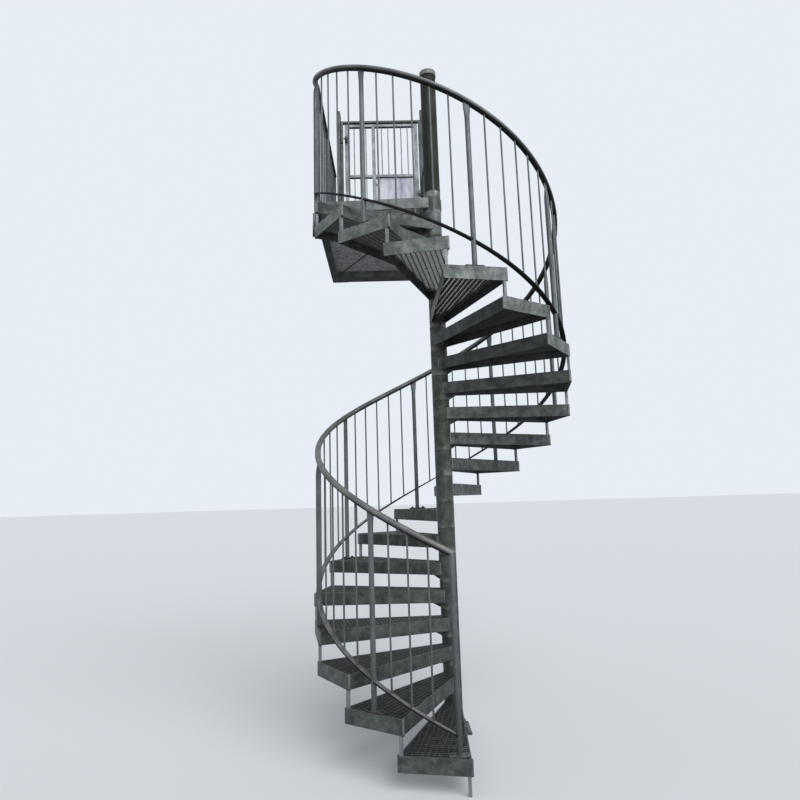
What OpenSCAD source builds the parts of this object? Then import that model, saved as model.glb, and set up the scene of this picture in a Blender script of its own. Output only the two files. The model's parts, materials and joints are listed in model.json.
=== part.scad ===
// Spiral fire escape stair of hot-dip galvanised steel: one centre column, twenty
// open-grating treads that climb clockwise, a rectangular landing and a tall gate.
// The origin is on the ground under the column. +X runs along the wall, +Y to the wall.

/* [Flight] */
// Number of treads below the landing
tread_count = 20; // [16:1:20]
// Rise from one tread to the next
riser = 190; // [175:1:200]
// Turn from one tread to the next, in degrees
step_angle = 22.5; // [22:0.1:23]
// Turn from the nosing corner of a tread to its rear corner, in degrees
tread_angle = 24.3; // [24:0.1:25.5]
// Radius to the outer corners of the treads
corner_radius = 978; // [900:1:1050]

/* [Tread tray] */
// Height of the plates round each tread and round the landing
plate_height = 88; // [70:1:100]
// Thickness of the tread plates
plate_t = 5; // [4:0.5:8]
// Distance of the side plates from the column axis where they meet the hub
hub_offset = 54; // [48:1:57]
// Height of the gusset below a tread plate at the hub
gusset_height = 40; // [20:1:46]
// Length of the gusset outward from the hub sleeve
gusset_length = 75; // [50:1:110]
// Side of the square bars that tie the rims of the treads together
spacer_side = 18; // [12:1:20]

/* [Grating] */
// Distance between bearing bars
bearing_pitch = 33.3; // [30:0.1:36]
// Distance between the heavy cross bars
cross_pitch = 111; // [90:1:140]
// Depth of the bearing bars and of the edge strip
grating_depth = 30; // [25:1:40]
// Depth of the cross bars
cross_depth = 10; // [6:1:15]
// Thickness of the grating bars
grating_bar_t = 3; // [2:0.5:4]

/* [Column] */
// Outer diameter of the hub sleeves
sleeve_d = 127; // [120:1:140]
// Wall of the hub sleeves
sleeve_wall = 6; // [4:0.5:7]
// Wall of the pole inside the sleeves
pole_wall = 5; // [4:0.5:8]
// Height of a sleeve joint above the tread that it carries
sleeve_rise = 56; // [40:1:65]
// Height of the column above the landing
column_above_landing = 1138; // [1000:1:1200]
// Thickness of the cap's lid
cap_t = 8; // [5:1:20]
// Depth of the cap's skirt down the sleeve
cap_skirt = 33; // [15:1:60]
// Overhang of the cap past the sleeve
cap_lip = 5; // [3:0.5:8]
// Side of the square base plate
base_side = 220; // [210:1:300]
// Thickness of the base plate
base_t = 15; // [12:1:20]
// Distance between the centres of the anchor holes
anchor_spacing = 160; // [150:1:180]
// Diameter of the anchor holes
anchor_hole_d = 18; // [14:1:22]

/* [Guard of the flight] */
// Distance of the line on which rails, posts and bars stand from the rim of a tread
rail_inset = 18; // [18:1:30]
// Height of the handrail's centre above the nosing line
rail_height = 1062; // [900:1:1150]
// Diameter of the handrail and of the start newel
rail_d = 42.4; // [33.7:0.1:48.3]
// Height of the bottom rail's centre above the nosing line
bottom_rail_height = 75; // [60:1:110]
// Width of the bottom rail
bottom_rail_w = 34; // [20:1:34]
// Thickness of the bottom rail
bottom_rail_t = 10; // [6:1:12]
// Place of the start newel along the flight, in steps
newel_step = 1.165; // [1.1:0.005:1.3]
// Diameter of the posts
post_d = 33.7; // [26.9:0.1:42.4]
// Diameter of the upright bars
bar_d = 12; // [10:1:14]
// Number of bars between two posts
bars_per_bay = 5; // [4:1:6]
// Length of a post foot along the rim
foot_length = 140; // [100:1:180]
// Length of the start newel's foot along the rim
newel_foot_length = 122; // [70:1:124]
// Width of a post foot
foot_width = 56; // [50:1:70]
// Thickness of a post foot
foot_t = 8; // [5:1:12]

/* [Landing] */
// Distance from the column axis to the wall
wall_distance = 1570; // [1400:1:1700]
// Distance from the column axis to the outer face of the right side plate
right_x = 70; // [66:1:90]
// Thickness of the landing's plates
landing_plate_t = 8; // [6:1:10]
// Number of bays between the posts of the landing's side guards
landing_bays = 2; // [1:1:3]
// Space between a bend or post of another piece and the nearest post of a side guard
guard_gap = 20; // [12:1:40]
// How far the landing's left guard comes inward on its way to the gate
guard_lean = 18; // [0:1:30]
// Depth of the diagonal rib below the landing's grating
rib_depth = 12; // [8:1:40]
// Distance from the landing's left edge to the far end of the rib
rib_inset = 118; // [60:1:200]
// Width of the bottom flange inside the landing's side plates
flange_w = 68; // [40:1:80]
// Distance of the flanges from the column axis toward the wall
flange_start = 120; // [80:1:200]
// Depth of the box beam along the wall
beam_depth = 158; // [100:1:200]
// Thickness of the wall plates behind the landing
wall_plate_t = 10; // [8:1:15]
// Length of a wall plate
wall_plate_length = 160; // [140:1:200]
// Distance between the two anchor holes of a wall plate
wall_hole_spacing = 100; // [80:1:120]
// Diameter of the wall anchor holes
wall_hole_d = 14; // [11:1:18]

/* [Gate] */
// Side of the square gate posts
gate_post_side = 40; // [40:1:60]
// Distance from the landing's left edge to the latch post
latch_post_inset = 62; // [50:1:120]
// Height of the gate posts above the landing
gate_post_height = 1890; // [1800:1:2000]
// Width of the jamb on the hinge side and height of the head above the leaf
jamb_w = 22; // [16:1:30]
// Width of the jamb on the latch side
latch_jamb_w = 31; // [16:1:40]
// Height of the underside of the head above the landing
head_height = 1744; // [1700:1:1800]
// Depth of the jambs, of the head and of the leaf
leaf_depth = 35; // [25:1:40]
// Width of the leaf's stiles
stile_w = 38; // [30:1:50]
// Height of the leaf's rails
leaf_rail_h = 29; // [20:1:40]
// Height of the top of the leaf above the landing
leaf_top = 1722; // [1600:1:1735]
// Height of the middle rail's centre above the landing
leaf_mid = 1104; // [1000:1:1200]
// Gap below the leaf
leaf_bottom_gap = 60; // [40:1:90]
// Distance from the leaf's left edge to the centre of its middle stile
middle_stile = 315; // [250:1:400]
// Number of bars left of the middle stile
narrow_bars = 3; // [2:1:4]
// Number of bars right of the middle stile
wide_bars = 5; // [4:1:6]
// Thickness of the sheet in the leaf's lower right field
sheet_t = 3; // [2:0.5:5]
// Gap between the leaf and the hinge jamb
hinge_gap = 12; // [12:1:20]
// Gap between the leaf and the latch jamb
latch_gap = 19; // [14:1:30]
// Height of the lower hinge above the landing
hinge_low = 230; // [150:1:400]
// Height of the upper hinge above the landing
hinge_high = 846; // [700:1:1500]
// Diameter of the hinge pins
hinge_pin_d = 10; // [8:1:16]
// Outer diameter of the hinge knuckles
knuckle_d = 20; // [16:1:26]
// Height of one hinge knuckle
knuckle_h = 32; // [25:1:50]
// Thickness of the hinge arms
hinge_arm_t = 6; // [4:1:8]
// Height of the latch's centre above the landing
latch_height = 1535; // [900:1:1600]
// Height of the latch case
latch_case_h = 66; // [50:1:100]
// Depth of the latch case
latch_case_t = 24; // [15:1:35]
// Reach of the latch bolt past the leaf
latch_reach = 12; // [6:1:12]
// Diameter of the latch knob
knob_d = 16; // [12:1:30]

/* [Hidden] */

seat = 0.3;
steel = "#8b9494";
dark_steel = "#6c7573";
rail_steel = "#9ba1a3";
black = "#2c2e30";

landing_no = tread_count + 1;
landing_z = landing_no * riser;
sleeve_r = sleeve_d / 2;
bore_r = sleeve_r - sleeve_wall;
pole_r = bore_r - seat;
half_angle = tread_angle / 2;
start_angle = 180 + tread_count * step_angle;

// Angle round the column of the step number n, which may be a fraction.
function turn(n) = start_angle - (n - 1) * step_angle;
// Height of the nosing line at the step number n.
function nosing_z(n) = n * riser;
// The post stands in the middle of a tread.
post_step = half_angle / step_angle;
bar_step = 2 / (bars_per_bay + 1);
// The handrail bends to the level over the first post of the landing.
rail_end_step = landing_no + 0.15;

// Plan of a tread, with its centre line on +X.
tray_u = corner_radius * cos(half_angle);
rail_radius = tray_u - rail_inset;
tray_w = corner_radius * sin(half_angle);
side_angle = half_angle - asin(hub_offset / corner_radius);
hub_reach = sqrt(pow(sleeve_r - 0.2, 2) - pow(hub_offset, 2));
hub_u = hub_reach * cos(side_angle) - hub_offset * sin(side_angle);
hub_w = hub_reach * sin(side_angle) + hub_offset * cos(side_angle);

// Half width of the tray at the distance u, drawn in by a margin m.
function tray_half(u, m) = tray_w - (tray_u - u) * tan(side_angle) - m / cos(side_angle);

module tray_plan(m) {
    first_u = m > 0 ? 0 : hub_u;
    last_u = tray_u - m;
    polygon([[first_u, -tray_half(first_u, m)], [last_u, -tray_half(last_u, m)],
             [last_u, tray_half(last_u, m)], [first_u, tray_half(first_u, m)]]);
}

// Puts a tread's own frame at the step number n, with its top at z = 0.
module at_tread(n) {
    translate([0, 0, nosing_z(n)]) rotate([0, 0, turn(n) - half_angle]) children();
}

// Puts a frame on the guard line at the step number n: +X outward, +Y down the flight.
module at_rail(n, z) {
    translate([rail_radius * cos(turn(n)), rail_radius * sin(turn(n)), z])
        rotate([0, 0, turn(n)]) children();
}

module sleeve(z0, z1) {
    translate([0, 0, z0]) difference() {
        cylinder(h = z1 - z0, r = sleeve_r, $fn = 96);
        translate([0, 0, -1]) cylinder(h = z1 - z0 + 2, r = bore_r, $fn = 96);
    }
}

module gusset() {
    rotate([90, 0, 0]) translate([0, 0, -plate_t / 2]) linear_extrude(plate_t)
        polygon([[bore_r + 1, -plate_height - gusset_height],
                 [sleeve_r, -plate_height - gusset_height],
                 [sleeve_r + gusset_length, -plate_height - 0.5],
                 [sleeve_r + gusset_length, -plate_height + plate_t],
                 [bore_r + 1, -plate_height + plate_t]]);
}

// One tread: hub sleeve, bent plate round three sides and gusset, welded together.
module tread(n) {
    color(steel) at_tread(n) {
        difference() {
            union() {
                sleeve(sleeve_rise - riser, sleeve_rise);
                translate([0, 0, -plate_height]) linear_extrude(plate_height) difference() {
                    tray_plan(0);
                    tray_plan(plate_t);
                }
                gusset();
            }
            translate([0, 0, sleeve_rise - riser - 1]) cylinder(h = riser + 2, r = bore_r, $fn = 96);
        }
    }
}

// Grating panel of one tread: edge strip, bearing bars along the tread, cross bars.
module tread_grating() {
    edge = plate_t + seat;
    inner = edge + grating_bar_t;
    rows = floor(tray_w / bearing_pitch);
    columns = floor((tray_u - sleeve_r) / cross_pitch);
    translate([0, 0, -grating_depth]) difference() {
        intersection() {
            union() {
                linear_extrude(grating_depth) difference() {
                    tray_plan(edge);
                    difference() {
                        tray_plan(inner);
                        circle(r = sleeve_r + seat + grating_bar_t, $fn = 96);
                    }
                }
                for (row = [-rows : rows])
                    translate([0, row * bearing_pitch - grating_bar_t / 2, 0])
                        cube([tray_u, grating_bar_t, grating_depth]);
                for (column = [1 : columns])
                    translate([tray_u - edge - column * cross_pitch, -tray_w, grating_depth - cross_depth])
                        cube([grating_bar_t, 2 * tray_w, cross_depth]);
            }
            linear_extrude(grating_depth) tray_plan(edge);
        }
        translate([0, 0, -1]) cylinder(h = grating_depth + 2, r = sleeve_r + seat, $fn = 96);
    }
}

module tread_gratings(first, last) {
    color(dark_steel) for (n = [first : last]) at_tread(n) tread_grating();
}

// A square bar stands on the rear corner of each tread and carries the next nosing.
module rim_spacers() {
    overlap_step = (tread_angle - step_angle) / 2 / step_angle;
    reach = corner_radius - spacer_side / 2 - 5.5;
    color(steel) for (n = [1 : landing_no]) {
        low = n == 1 ? 0 : nosing_z(n - 1);
        translate([0, 0, low]) rotate([0, 0, turn(n + overlap_step) ])
            translate([reach - spacer_side / 2, -spacer_side / 2, 0])
                cube([spacer_side, spacer_side, nosing_z(n) - plate_height - low]);
    }
}

module base_plate() {
    color(steel) difference() {
        union() {
            translate([-base_side / 2, -base_side / 2, 0]) cube([base_side, base_side, base_t]);
            cylinder(h = sleeve_rise, r = sleeve_r, $fn = 96);
        }
        translate([0, 0, base_t]) cylinder(h = sleeve_rise, r = bore_r, $fn = 96);
        for (x = [-1, 1], y = [-1, 1])
            translate([x * anchor_spacing / 2, y * anchor_spacing / 2, -1])
                cylinder(h = base_t + 2, d = anchor_hole_d, $fn = 48);
    }
}

column_top = landing_z + column_above_landing;

module centre_pole() {
    color(dark_steel) translate([0, 0, base_t]) difference() {
        cylinder(h = column_top - base_t, r = pole_r, $fn = 96);
        translate([0, 0, -1]) cylinder(h = column_top - base_t + 2, r = pole_r - pole_wall, $fn = 96);
    }
}

module top_sleeve() {
    color(steel) sleeve(landing_z + sleeve_rise, column_top);
}

module pole_cap() {
    color(steel) translate([0, 0, column_top - cap_skirt]) difference() {
        cylinder(h = cap_skirt + cap_t, r = sleeve_r + cap_lip, $fn = 96);
        translate([0, 0, -1]) cylinder(h = cap_skirt + 1, r = sleeve_r + seat, $fn = 96);
    }
}

// Faces of a sweep along rings of points, with each side cut into two triangles.
function ring_faces(rings, sides) = concat(
    [[for (k = [sides - 1 : -1 : 0]) k]],
    [for (j = [0 : rings - 2], k = [0 : sides - 1], half = [0, 1])
        let (a = j * sides + k, b = j * sides + (k + 1) % sides)
        half == 0 ? [a, b, b + sides] : [a, b + sides, a + sides]],
    [[for (k = [0 : sides - 1]) (rings - 1) * sides + k]]);

rail_sides = 16;
// Half width of a side of the rail's section, as a turn, so that a flat side lies below.
rail_phase = 180 / rail_sides;
// Depth of the flat underside of the rail below its centre.
rail_under = rail_d / 2 * cos(rail_phase);
rings_per_step = 4;
// Rise of the guard line per degree, and its slope.
rail_slope = atan(riser / (step_angle * rail_radius * PI / 180));

// Point of a tube's skin at the step number n: centre, outward and upward directions.
function rail_point(n, z, r, phi, skew) =
    let (a = turn(n),
         out = [cos(a), sin(a), 0],
         along = [sin(a) * cos(rail_slope), -cos(a) * cos(rail_slope), sin(rail_slope)],
         up = [-sin(a) * sin(rail_slope), cos(a) * sin(rail_slope), cos(rail_slope)])
    rail_radius * out + [0, 0, z] + r * cos(phi) * out + r * sin(phi) * (up + skew * along);

// Tangent of half the bend at the foot of the handrail and at the landing.
foot_skew = -tan((90 - rail_slope) / 2);
head_skew = tan(rail_slope / 2);
landing_rail_z = nosing_z(rail_end_step) + rail_height;
left_guard_x = rail_radius * cos(turn(rail_end_step));
left_guard_y = rail_radius * sin(turn(rail_end_step));

module handrail() {
    count = ceil((rail_end_step - newel_step) * rings_per_step);
    rings = concat(
        [for (j = [0 : count], k = [0 : rail_sides - 1])
            let (n = newel_step + (rail_end_step - newel_step) * j / count)
            rail_point(n, nosing_z(n) + rail_height, rail_d / 2, rail_phase + k * 360 / rail_sides,
                       j == 0 ? foot_skew : j == count ? head_skew : 0)],
        [for (k = [0 : rail_sides - 1]) let (phi = rail_phase + k * 360 / rail_sides)
            [left_guard_x + guard_lean - rail_d / 2 * cos(phi), guard_end_y,
             landing_rail_z + rail_d / 2 * sin(phi)]]);
    color(rail_steel) polyhedron(points = rings, faces = ring_faces(count + 2, rail_sides), convexity = 10);
}

// Flat bar that climbs between two posts.
module rail_bay(n0, n1) {
    count = ceil((n1 - n0) * rings_per_step) + 1;
    corners = [[-1, -1], [-1, 1], [1, 1], [1, -1]];
    rings = [for (j = [0 : count - 1], k = [0 : 3])
        let (n = n0 + (n1 - n0) * j / (count - 1),
             r = rail_radius + corners[k][0] * bottom_rail_w / 2,
             z = nosing_z(n) + bottom_rail_height + corners[k][1] * bottom_rail_t / 2 / cos(rail_slope))
        [r * cos(turn(n)), r * sin(turn(n)), z]];
    polyhedron(points = rings, faces = ring_faces(count, 4), convexity = 4);
}

function step_for(length) = length / (rail_radius * PI / 180) / step_angle;

// The first post of the landing's left guard stands behind the bend of the handrail.
left_post_y = left_guard_y + post_d / 2 + guard_gap / 2;
last_bay_step = landing_no + asin((left_post_y - post_d / 2 - seat) / rail_radius) / step_angle;

module bottom_rail() {
    post_gap = step_for(post_d / 2 + seat);
    color(steel) for (n = [0 : 2 : tread_count - 2])
        rail_bay((n == 0 ? newel_step : n + post_step) + post_gap, n + 2 + post_step - post_gap);
    color(steel) rail_bay(tread_count + post_step + post_gap, last_bay_step);
}

// Upright of a guard, cut off along the slope just below the handrail.
module upright(n, z0, d) {
    top = nosing_z(n) + rail_height;
    at_rail(n, 0) difference() {
        translate([0, 0, z0]) cylinder(h = top - z0, d = d, $fn = 32);
        translate([0, 0, top]) rotate([-rail_slope, 0, 0])
            translate([-d, -2 * d, -rail_under - seat]) cube([2 * d, 4 * d, 3 * d]);
    }
}

// Bar between the bottom rail and the handrail, cut along the slope at both ends.
module bar(n) {
    low = nosing_z(n) + bottom_rail_height;
    difference() {
        upright(n, low - bar_d, bar_d);
        at_rail(n, low) rotate([-rail_slope, 0, 0])
            translate([-bar_d, -2 * bar_d, bottom_rail_t / 2 + seat - 3 * bar_d])
                cube([2 * bar_d, 4 * bar_d, 3 * bar_d]);
    }
}

module post_foot(n, z, length) {
    at_rail(n, z) translate([rail_inset - foot_width, -length / 2, 0])
        cube([foot_width, length, foot_t]);
}

module guard_posts() {
    color(rail_steel) for (i = [2 : 2 : tread_count]) {
        n = i + post_step;
        upright(n, nosing_z(i), post_d);
        post_foot(n, nosing_z(i), foot_length);
    }
}

module start_newel() {
    top = nosing_z(newel_step) + rail_height;
    color(rail_steel) {
        at_rail(newel_step, 0) difference() {
            translate([0, 0, riser]) cylinder(h = top + rail_d - riser, d = post_d, $fn = 48);
            translate([0, 0, top]) rotate([(90 - rail_slope) / 2, 0, 0])
                translate([-rail_d, -3 * rail_d, 0]) cube([2 * rail_d, 6 * rail_d, 3 * rail_d]);
        }
        post_foot(newel_step, riser, newel_foot_length);
    }
}

module guard_bars() {
    color(rail_steel) for (i = [0 : 2 : tread_count], k = [1 : bars_per_bay]) {
        n = i + post_step + k * bar_step;
        if (n > newel_step + bar_step / 2 && n < landing_no) bar(n);
    }
}

// Landing. Its nosing lies over the rear corner of the last tread.
left_x = -tray_u;
back_y = wall_distance - wall_plate_t;
nose_slope = tan(half_angle - side_angle);
function nose_y(x) = -(x + corner_radius) * nose_slope;

module landing_plan(m) {
    polygon([[left_x + m, nose_y(left_x) + m], [-hub_reach, nose_y(-hub_reach) + m],
             [0, -bore_r - 1], [right_x - m, 0],
             [right_x - m, back_y - m], [left_x + m, back_y - m]]);
}

beam_y = back_y - beam_depth;

module landing_rib() {
    run = [left_x + rib_inset, beam_y + landing_plate_t / 2];
    angle = atan2(run[1], run[0]);
    rotate([0, 0, angle]) translate([bore_r + 1, -landing_plate_t / 2, -grating_depth - seat - rib_depth])
        cube([norm(run) - bore_r - 1, landing_plate_t, rib_depth]);
}

// Flanges along the foot of the side plates, from the column to the wall.
module landing_flanges() {
    translate([0, 0, -plate_height]) linear_extrude(landing_plate_t) difference() {
        landing_plan(0);
        landing_plan(flange_w);
        translate([left_x - 1, -corner_radius])
            square([right_x - left_x + 2, corner_radius + flange_start]);
    }
}

// Box beam under the gate, open at the top toward the grating.
module wall_beam() {
    width = right_x - left_x - landing_plate_t;
    translate([left_x + landing_plate_t / 2, beam_y, -plate_height]) {
        cube([width, landing_plate_t, plate_height - grating_depth - seat]);
        cube([width, beam_depth - landing_plate_t / 2, landing_plate_t]);
    }
}

module landing_frame() {
    color(steel) translate([0, 0, landing_z]) difference() {
        union() {
            sleeve(sleeve_rise - riser, sleeve_rise);
            translate([0, 0, -plate_height]) linear_extrude(plate_height) difference() {
                landing_plan(0);
                landing_plan(landing_plate_t);
            }
            landing_flanges();
            wall_beam();
            landing_rib();
        }
        translate([0, 0, sleeve_rise - riser - 1]) cylinder(h = riser + 2, r = bore_r, $fn = 96);
        wall_holes(back_y - landing_plate_t - 1, landing_plate_t + 2);
    }
}

panel_split = back_y / 2;

// Plan of the front or the back grating panel, drawn in by a margin m.
module panel_plan(front, m) {
    intersection() {
        landing_plan(landing_plate_t + m);
        translate([left_x, front ? -corner_radius : panel_split + m])
            square([right_x - left_x, front ? corner_radius + panel_split - m : corner_radius]);
    }
}

// One panel of the landing's grating: edge strip, bearing bars along X, cross bars.
module landing_panel(front) {
    rows = floor(panel_split / bearing_pitch);
    columns = floor((right_x - left_x) / cross_pitch);
    first_y = front ? 2 : panel_split;
    translate([0, 0, landing_z - grating_depth]) difference() {
        intersection() {
            union() {
                linear_extrude(grating_depth) difference() {
                    panel_plan(front, seat);
                    difference() {
                        panel_plan(front, seat + grating_bar_t);
                        circle(r = sleeve_r + seat + grating_bar_t, $fn = 96);
                    }
                }
                for (row = [front ? -1 : 1 : rows - 1])
                    translate([left_x, first_y + row * bearing_pitch, 0])
                        cube([right_x - left_x, grating_bar_t, grating_depth]);
                for (column = [1 : columns])
                    translate([left_x + column * cross_pitch, -hub_offset, grating_depth - cross_depth])
                        cube([grating_bar_t, back_y + hub_offset, cross_depth]);
            }
            linear_extrude(grating_depth) panel_plan(front, seat);
        }
        translate([0, 0, -1]) cylinder(h = grating_depth + 2, r = sleeve_r + seat, $fn = 96);
    }
}

module landing_gratings() {
    color(dark_steel) {
        landing_panel(true);
        landing_panel(false);
    }
}

wall_plate_x = [left_x + wall_plate_length / 2, right_x - wall_plate_length / 2];

// Anchor holes through the back plate and the wall plates, for a frame at the landing's top.
module wall_holes(y, length) {
    for (x = wall_plate_x, side = [-1, 1])
        translate([x + side * wall_hole_spacing / 2, y, -plate_height / 2])
            rotate([-90, 0, 0]) cylinder(h = length, d = wall_hole_d, $fn = 48);
}

module wall_plates() {
    color(steel) translate([0, 0, landing_z]) difference() {
        for (x = wall_plate_x)
            translate([x - wall_plate_length / 2, back_y, -plate_height])
                cube([wall_plate_length, wall_plate_t, plate_height]);
        wall_holes(back_y - 1, wall_plate_t + 2);
    }
}

// Straight guard of the landing from a point over a length: posts, bottom rail and bars up to a height.
module straight_guard(start, length, angle, top) {
    bay = length / landing_bays;
    bottom = landing_z + bottom_rail_height;
    count = ceil(bay / 125);
    translate([start[0], start[1], 0]) rotate([0, 0, -angle]) {
        for (k = [0 : landing_bays])
            translate([0, k * bay, landing_z]) cylinder(h = top - landing_z, d = post_d, $fn = 32);
        for (k = [0 : landing_bays - 1]) {
            translate([-bottom_rail_w / 2, k * bay + post_d / 2 - 1, bottom - bottom_rail_t / 2])
                cube([bottom_rail_w, bay - post_d + 2, bottom_rail_t]);
            for (i = [1 : count - 1])
                translate([0, k * bay + i * bay / count, bottom])
                    cylinder(h = top - bottom, d = bar_d, $fn = 32);
        }
    }
}

gate_y = back_y - landing_plate_t - gate_post_side / 2;
guard_end_y = gate_y - gate_post_side / 2 - guard_gap;
right_guard_x = right_x - post_d / 2;
right_guard_y = sleeve_r + post_d / 2 + seat;
lean_angle = atan(guard_lean / (guard_end_y - left_guard_y));
left_post_x = left_guard_x + (left_post_y - left_guard_y) * tan(lean_angle);

module landing_guard_left() {
    color(rail_steel)
        straight_guard([left_post_x, left_post_y], (guard_end_y - post_d / 2 - left_post_y) / cos(lean_angle),
                       lean_angle, landing_rail_z - rail_under - seat);
}

module landing_guard_right() {
    color(rail_steel) {
        straight_guard([right_guard_x, right_guard_y], guard_end_y - post_d / 2 - right_guard_y, 0,
                       landing_rail_z);
        translate([right_guard_x, right_guard_y - post_d / 2, landing_rail_z])
            rotate([-90, 0, 0]) cylinder(h = guard_end_y - right_guard_y + post_d / 2, d = rail_d, $fn = 48);
    }
}

// Gate. The leaf hangs in a fixed frame, on the side of the column, and opens over the landing.
latch_post_x = left_x + latch_post_inset + gate_post_side / 2;
hinge_post_x = right_x - gate_post_side / 2;
latch_jamb_end = latch_post_x + gate_post_side / 2 + latch_jamb_w;
hinge_jamb_x = hinge_post_x - gate_post_side / 2 - jamb_w / 2;
leaf_right = hinge_jamb_x - jamb_w / 2 - hinge_gap;
leaf_left = latch_jamb_end + latch_gap;
leaf_front = gate_y - leaf_depth / 2;
arm_gap = 2;
pivot = [leaf_right + hinge_gap / 2, leaf_front - knuckle_d / 2 - arm_gap];
hinge_z = [landing_z + hinge_low, landing_z + hinge_high];

// Fixed frame: two posts, a jamb beside each and a head between the jambs.
module gate_frame() {
    color(steel) {
        for (x = [latch_post_x, hinge_post_x])
            translate([x - gate_post_side / 2, gate_y - gate_post_side / 2, landing_z])
                cube([gate_post_side, gate_post_side, gate_post_height]);
        leaf_bar(latch_post_x, latch_jamb_end, 0, head_height + jamb_w);
        leaf_bar(hinge_jamb_x - jamb_w / 2, hinge_post_x, 0, head_height + jamb_w);
        leaf_bar(latch_jamb_end - jamb_w, hinge_jamb_x, head_height, head_height + jamb_w);
    }
}

// Arm of a hinge: out from the knuckle in front of the leaf, then back to the face.
module hinge_arm(reach, back) {
    translate([min(0, reach), -hinge_arm_t / 2, hinge_arm_t / 2])
        cube([abs(reach), hinge_arm_t, knuckle_h - hinge_arm_t]);
    translate([reach - hinge_arm_t / 2, -hinge_arm_t / 2, hinge_arm_t / 2])
        cube([hinge_arm_t, back + hinge_arm_t / 2, knuckle_h - hinge_arm_t]);
}

// Fixed half of the hinges: arm, lower knuckle and pin.
module gate_hinges() {
    color(black) for (z = hinge_z) translate([pivot[0], pivot[1], z]) {
        cylinder(h = knuckle_h, d = knuckle_d, $fn = 48);
        cylinder(h = 2 * knuckle_h + hinge_arm_t, d = hinge_pin_d, $fn = 48);
        hinge_arm(hinge_jamb_x - pivot[0], leaf_front - seat - pivot[1]);
    }
}

// Square-edged bar in the plane of the leaf, with heights above the landing.
module leaf_bar(x0, x1, z0, z1) {
    translate([x0, leaf_front, landing_z + z0]) cube([x1 - x0, leaf_depth, z1 - z0]);
}

// Round bars with equal spaces between two stiles.
module leaf_rods(x0, x1, count, z0, z1) {
    for (k = [1 : count])
        translate([x0 + k * (x1 - x0) / (count + 1), gate_y, landing_z + z0])
            cylinder(h = z1 - z0, d = bar_d, $fn = 32);
}

middle_x = leaf_left + middle_stile;
leaf_foot = leaf_bottom_gap;

module gate_leaf() {
    color(steel) {
        leaf_bar(leaf_left, leaf_left + stile_w, leaf_foot, leaf_top);
        leaf_bar(leaf_right - stile_w, leaf_right, leaf_foot, leaf_top);
        leaf_bar(middle_x - stile_w / 2, middle_x + stile_w / 2, leaf_foot, leaf_top);
        for (z = [leaf_foot, leaf_mid - leaf_rail_h / 2, leaf_top - leaf_rail_h])
            leaf_bar(leaf_left, leaf_right, z, z + leaf_rail_h);
        leaf_rods(leaf_left + stile_w, middle_x - stile_w / 2, narrow_bars,
                  leaf_foot + leaf_rail_h / 2, leaf_top - leaf_rail_h / 2);
        leaf_rods(middle_x + stile_w / 2, leaf_right - stile_w, wide_bars,
                  leaf_mid, leaf_top - leaf_rail_h / 2);
        for (z = hinge_z) translate([pivot[0], pivot[1], z + knuckle_h + seat]) difference() {
            union() {
                cylinder(h = knuckle_h, d = knuckle_d, $fn = 48);
                hinge_arm(leaf_right - stile_w / 2 - pivot[0], leaf_front + 1 - pivot[1]);
            }
            translate([0, 0, -1]) cylinder(h = knuckle_h + 2, d = hinge_pin_d + 2 * seat, $fn = 48);
        }
    }
}

// Sheet in the field below the middle rail, between the middle stile and the hinge stile.
module gate_sheet() {
    x0 = middle_x + stile_w / 2 + seat;
    z0 = leaf_foot + leaf_rail_h + seat;
    color(rail_steel) translate([x0, gate_y - sheet_t / 2, landing_z + z0])
        cube([leaf_right - stile_w - seat - x0, sheet_t, leaf_mid - leaf_rail_h / 2 - seat - z0]);
}

// Keeper of the latch on the jamb.
module latch_keeper() {
    color(black) translate([latch_jamb_end - jamb_w, leaf_front - latch_case_t / 2, 0])
        translate([0, 0, landing_z + latch_height - latch_case_h / 2])
            cube([jamb_w, latch_case_t / 2 - seat, latch_case_h * 0.7]);
}

// Latch on the leaf: case, bolt and knob.
module gate_latch() {
    z = landing_z + latch_height;
    color(black) translate([leaf_left, leaf_front - seat, z]) {
        translate([0, -latch_case_t, -latch_case_h / 2]) cube([stile_w - hinge_arm_t, latch_case_t, latch_case_h]);
        translate([-latch_reach, -latch_case_t / 2, latch_case_h / 8])
            cube([latch_reach + 1, latch_case_t / 3, latch_case_h / 6]);
        translate([stile_w / 2, -latch_case_t + 1, 0]) rotate([90, 0, 0])
            cylinder(h = latch_case_t, d = knob_d, $fn = 32);
    }
}

base_plate();
centre_pole();
tread(1);  // tread_01
tread(2);  // tread_02
tread(3);  // tread_03
tread(4);  // tread_04
tread(5);  // tread_05
tread(6);  // tread_06
tread(7);  // tread_07
tread(8);  // tread_08
tread(9);  // tread_09
tread(10);  // tread_10
tread(11);  // tread_11
tread(12);  // tread_12
tread(13);  // tread_13
tread(14);  // tread_14
tread(15);  // tread_15
tread(16);  // tread_16
tread(17);  // tread_17
tread(18);  // tread_18
tread(19);  // tread_19
tread(20);  // tread_20
tread_gratings(1, 5);  // tread_gratings_low
tread_gratings(6, 10);  // tread_gratings_left
tread_gratings(11, 15);  // tread_gratings_right
tread_gratings(16, tread_count);  // tread_gratings_high
rim_spacers();
landing_frame();
landing_gratings();
top_sleeve();
pole_cap();
handrail();
bottom_rail();
start_newel();
guard_posts();
guard_bars();
landing_guard_left();
landing_guard_right();
wall_plates();
gate_frame();
gate_hinges();
latch_keeper();
gate_leaf();
gate_sheet();
gate_latch();
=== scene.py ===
# %% [markdown]
# # A spiral fire escape stair in Blender
# The stair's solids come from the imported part: column, treads, gratings, guards, landing and gate.
# This lesson dresses them. It gives each part its weathered zinc finish, swaps the rails that are
# built of straight pieces for smooth ones, and adds what is too fine for the solids: the small
# cross bars of the gratings, weld beads, bolts and clips.

# %% Load the stair
import json
import math

import bpy
from mathutils import Matrix, Vector


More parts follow.
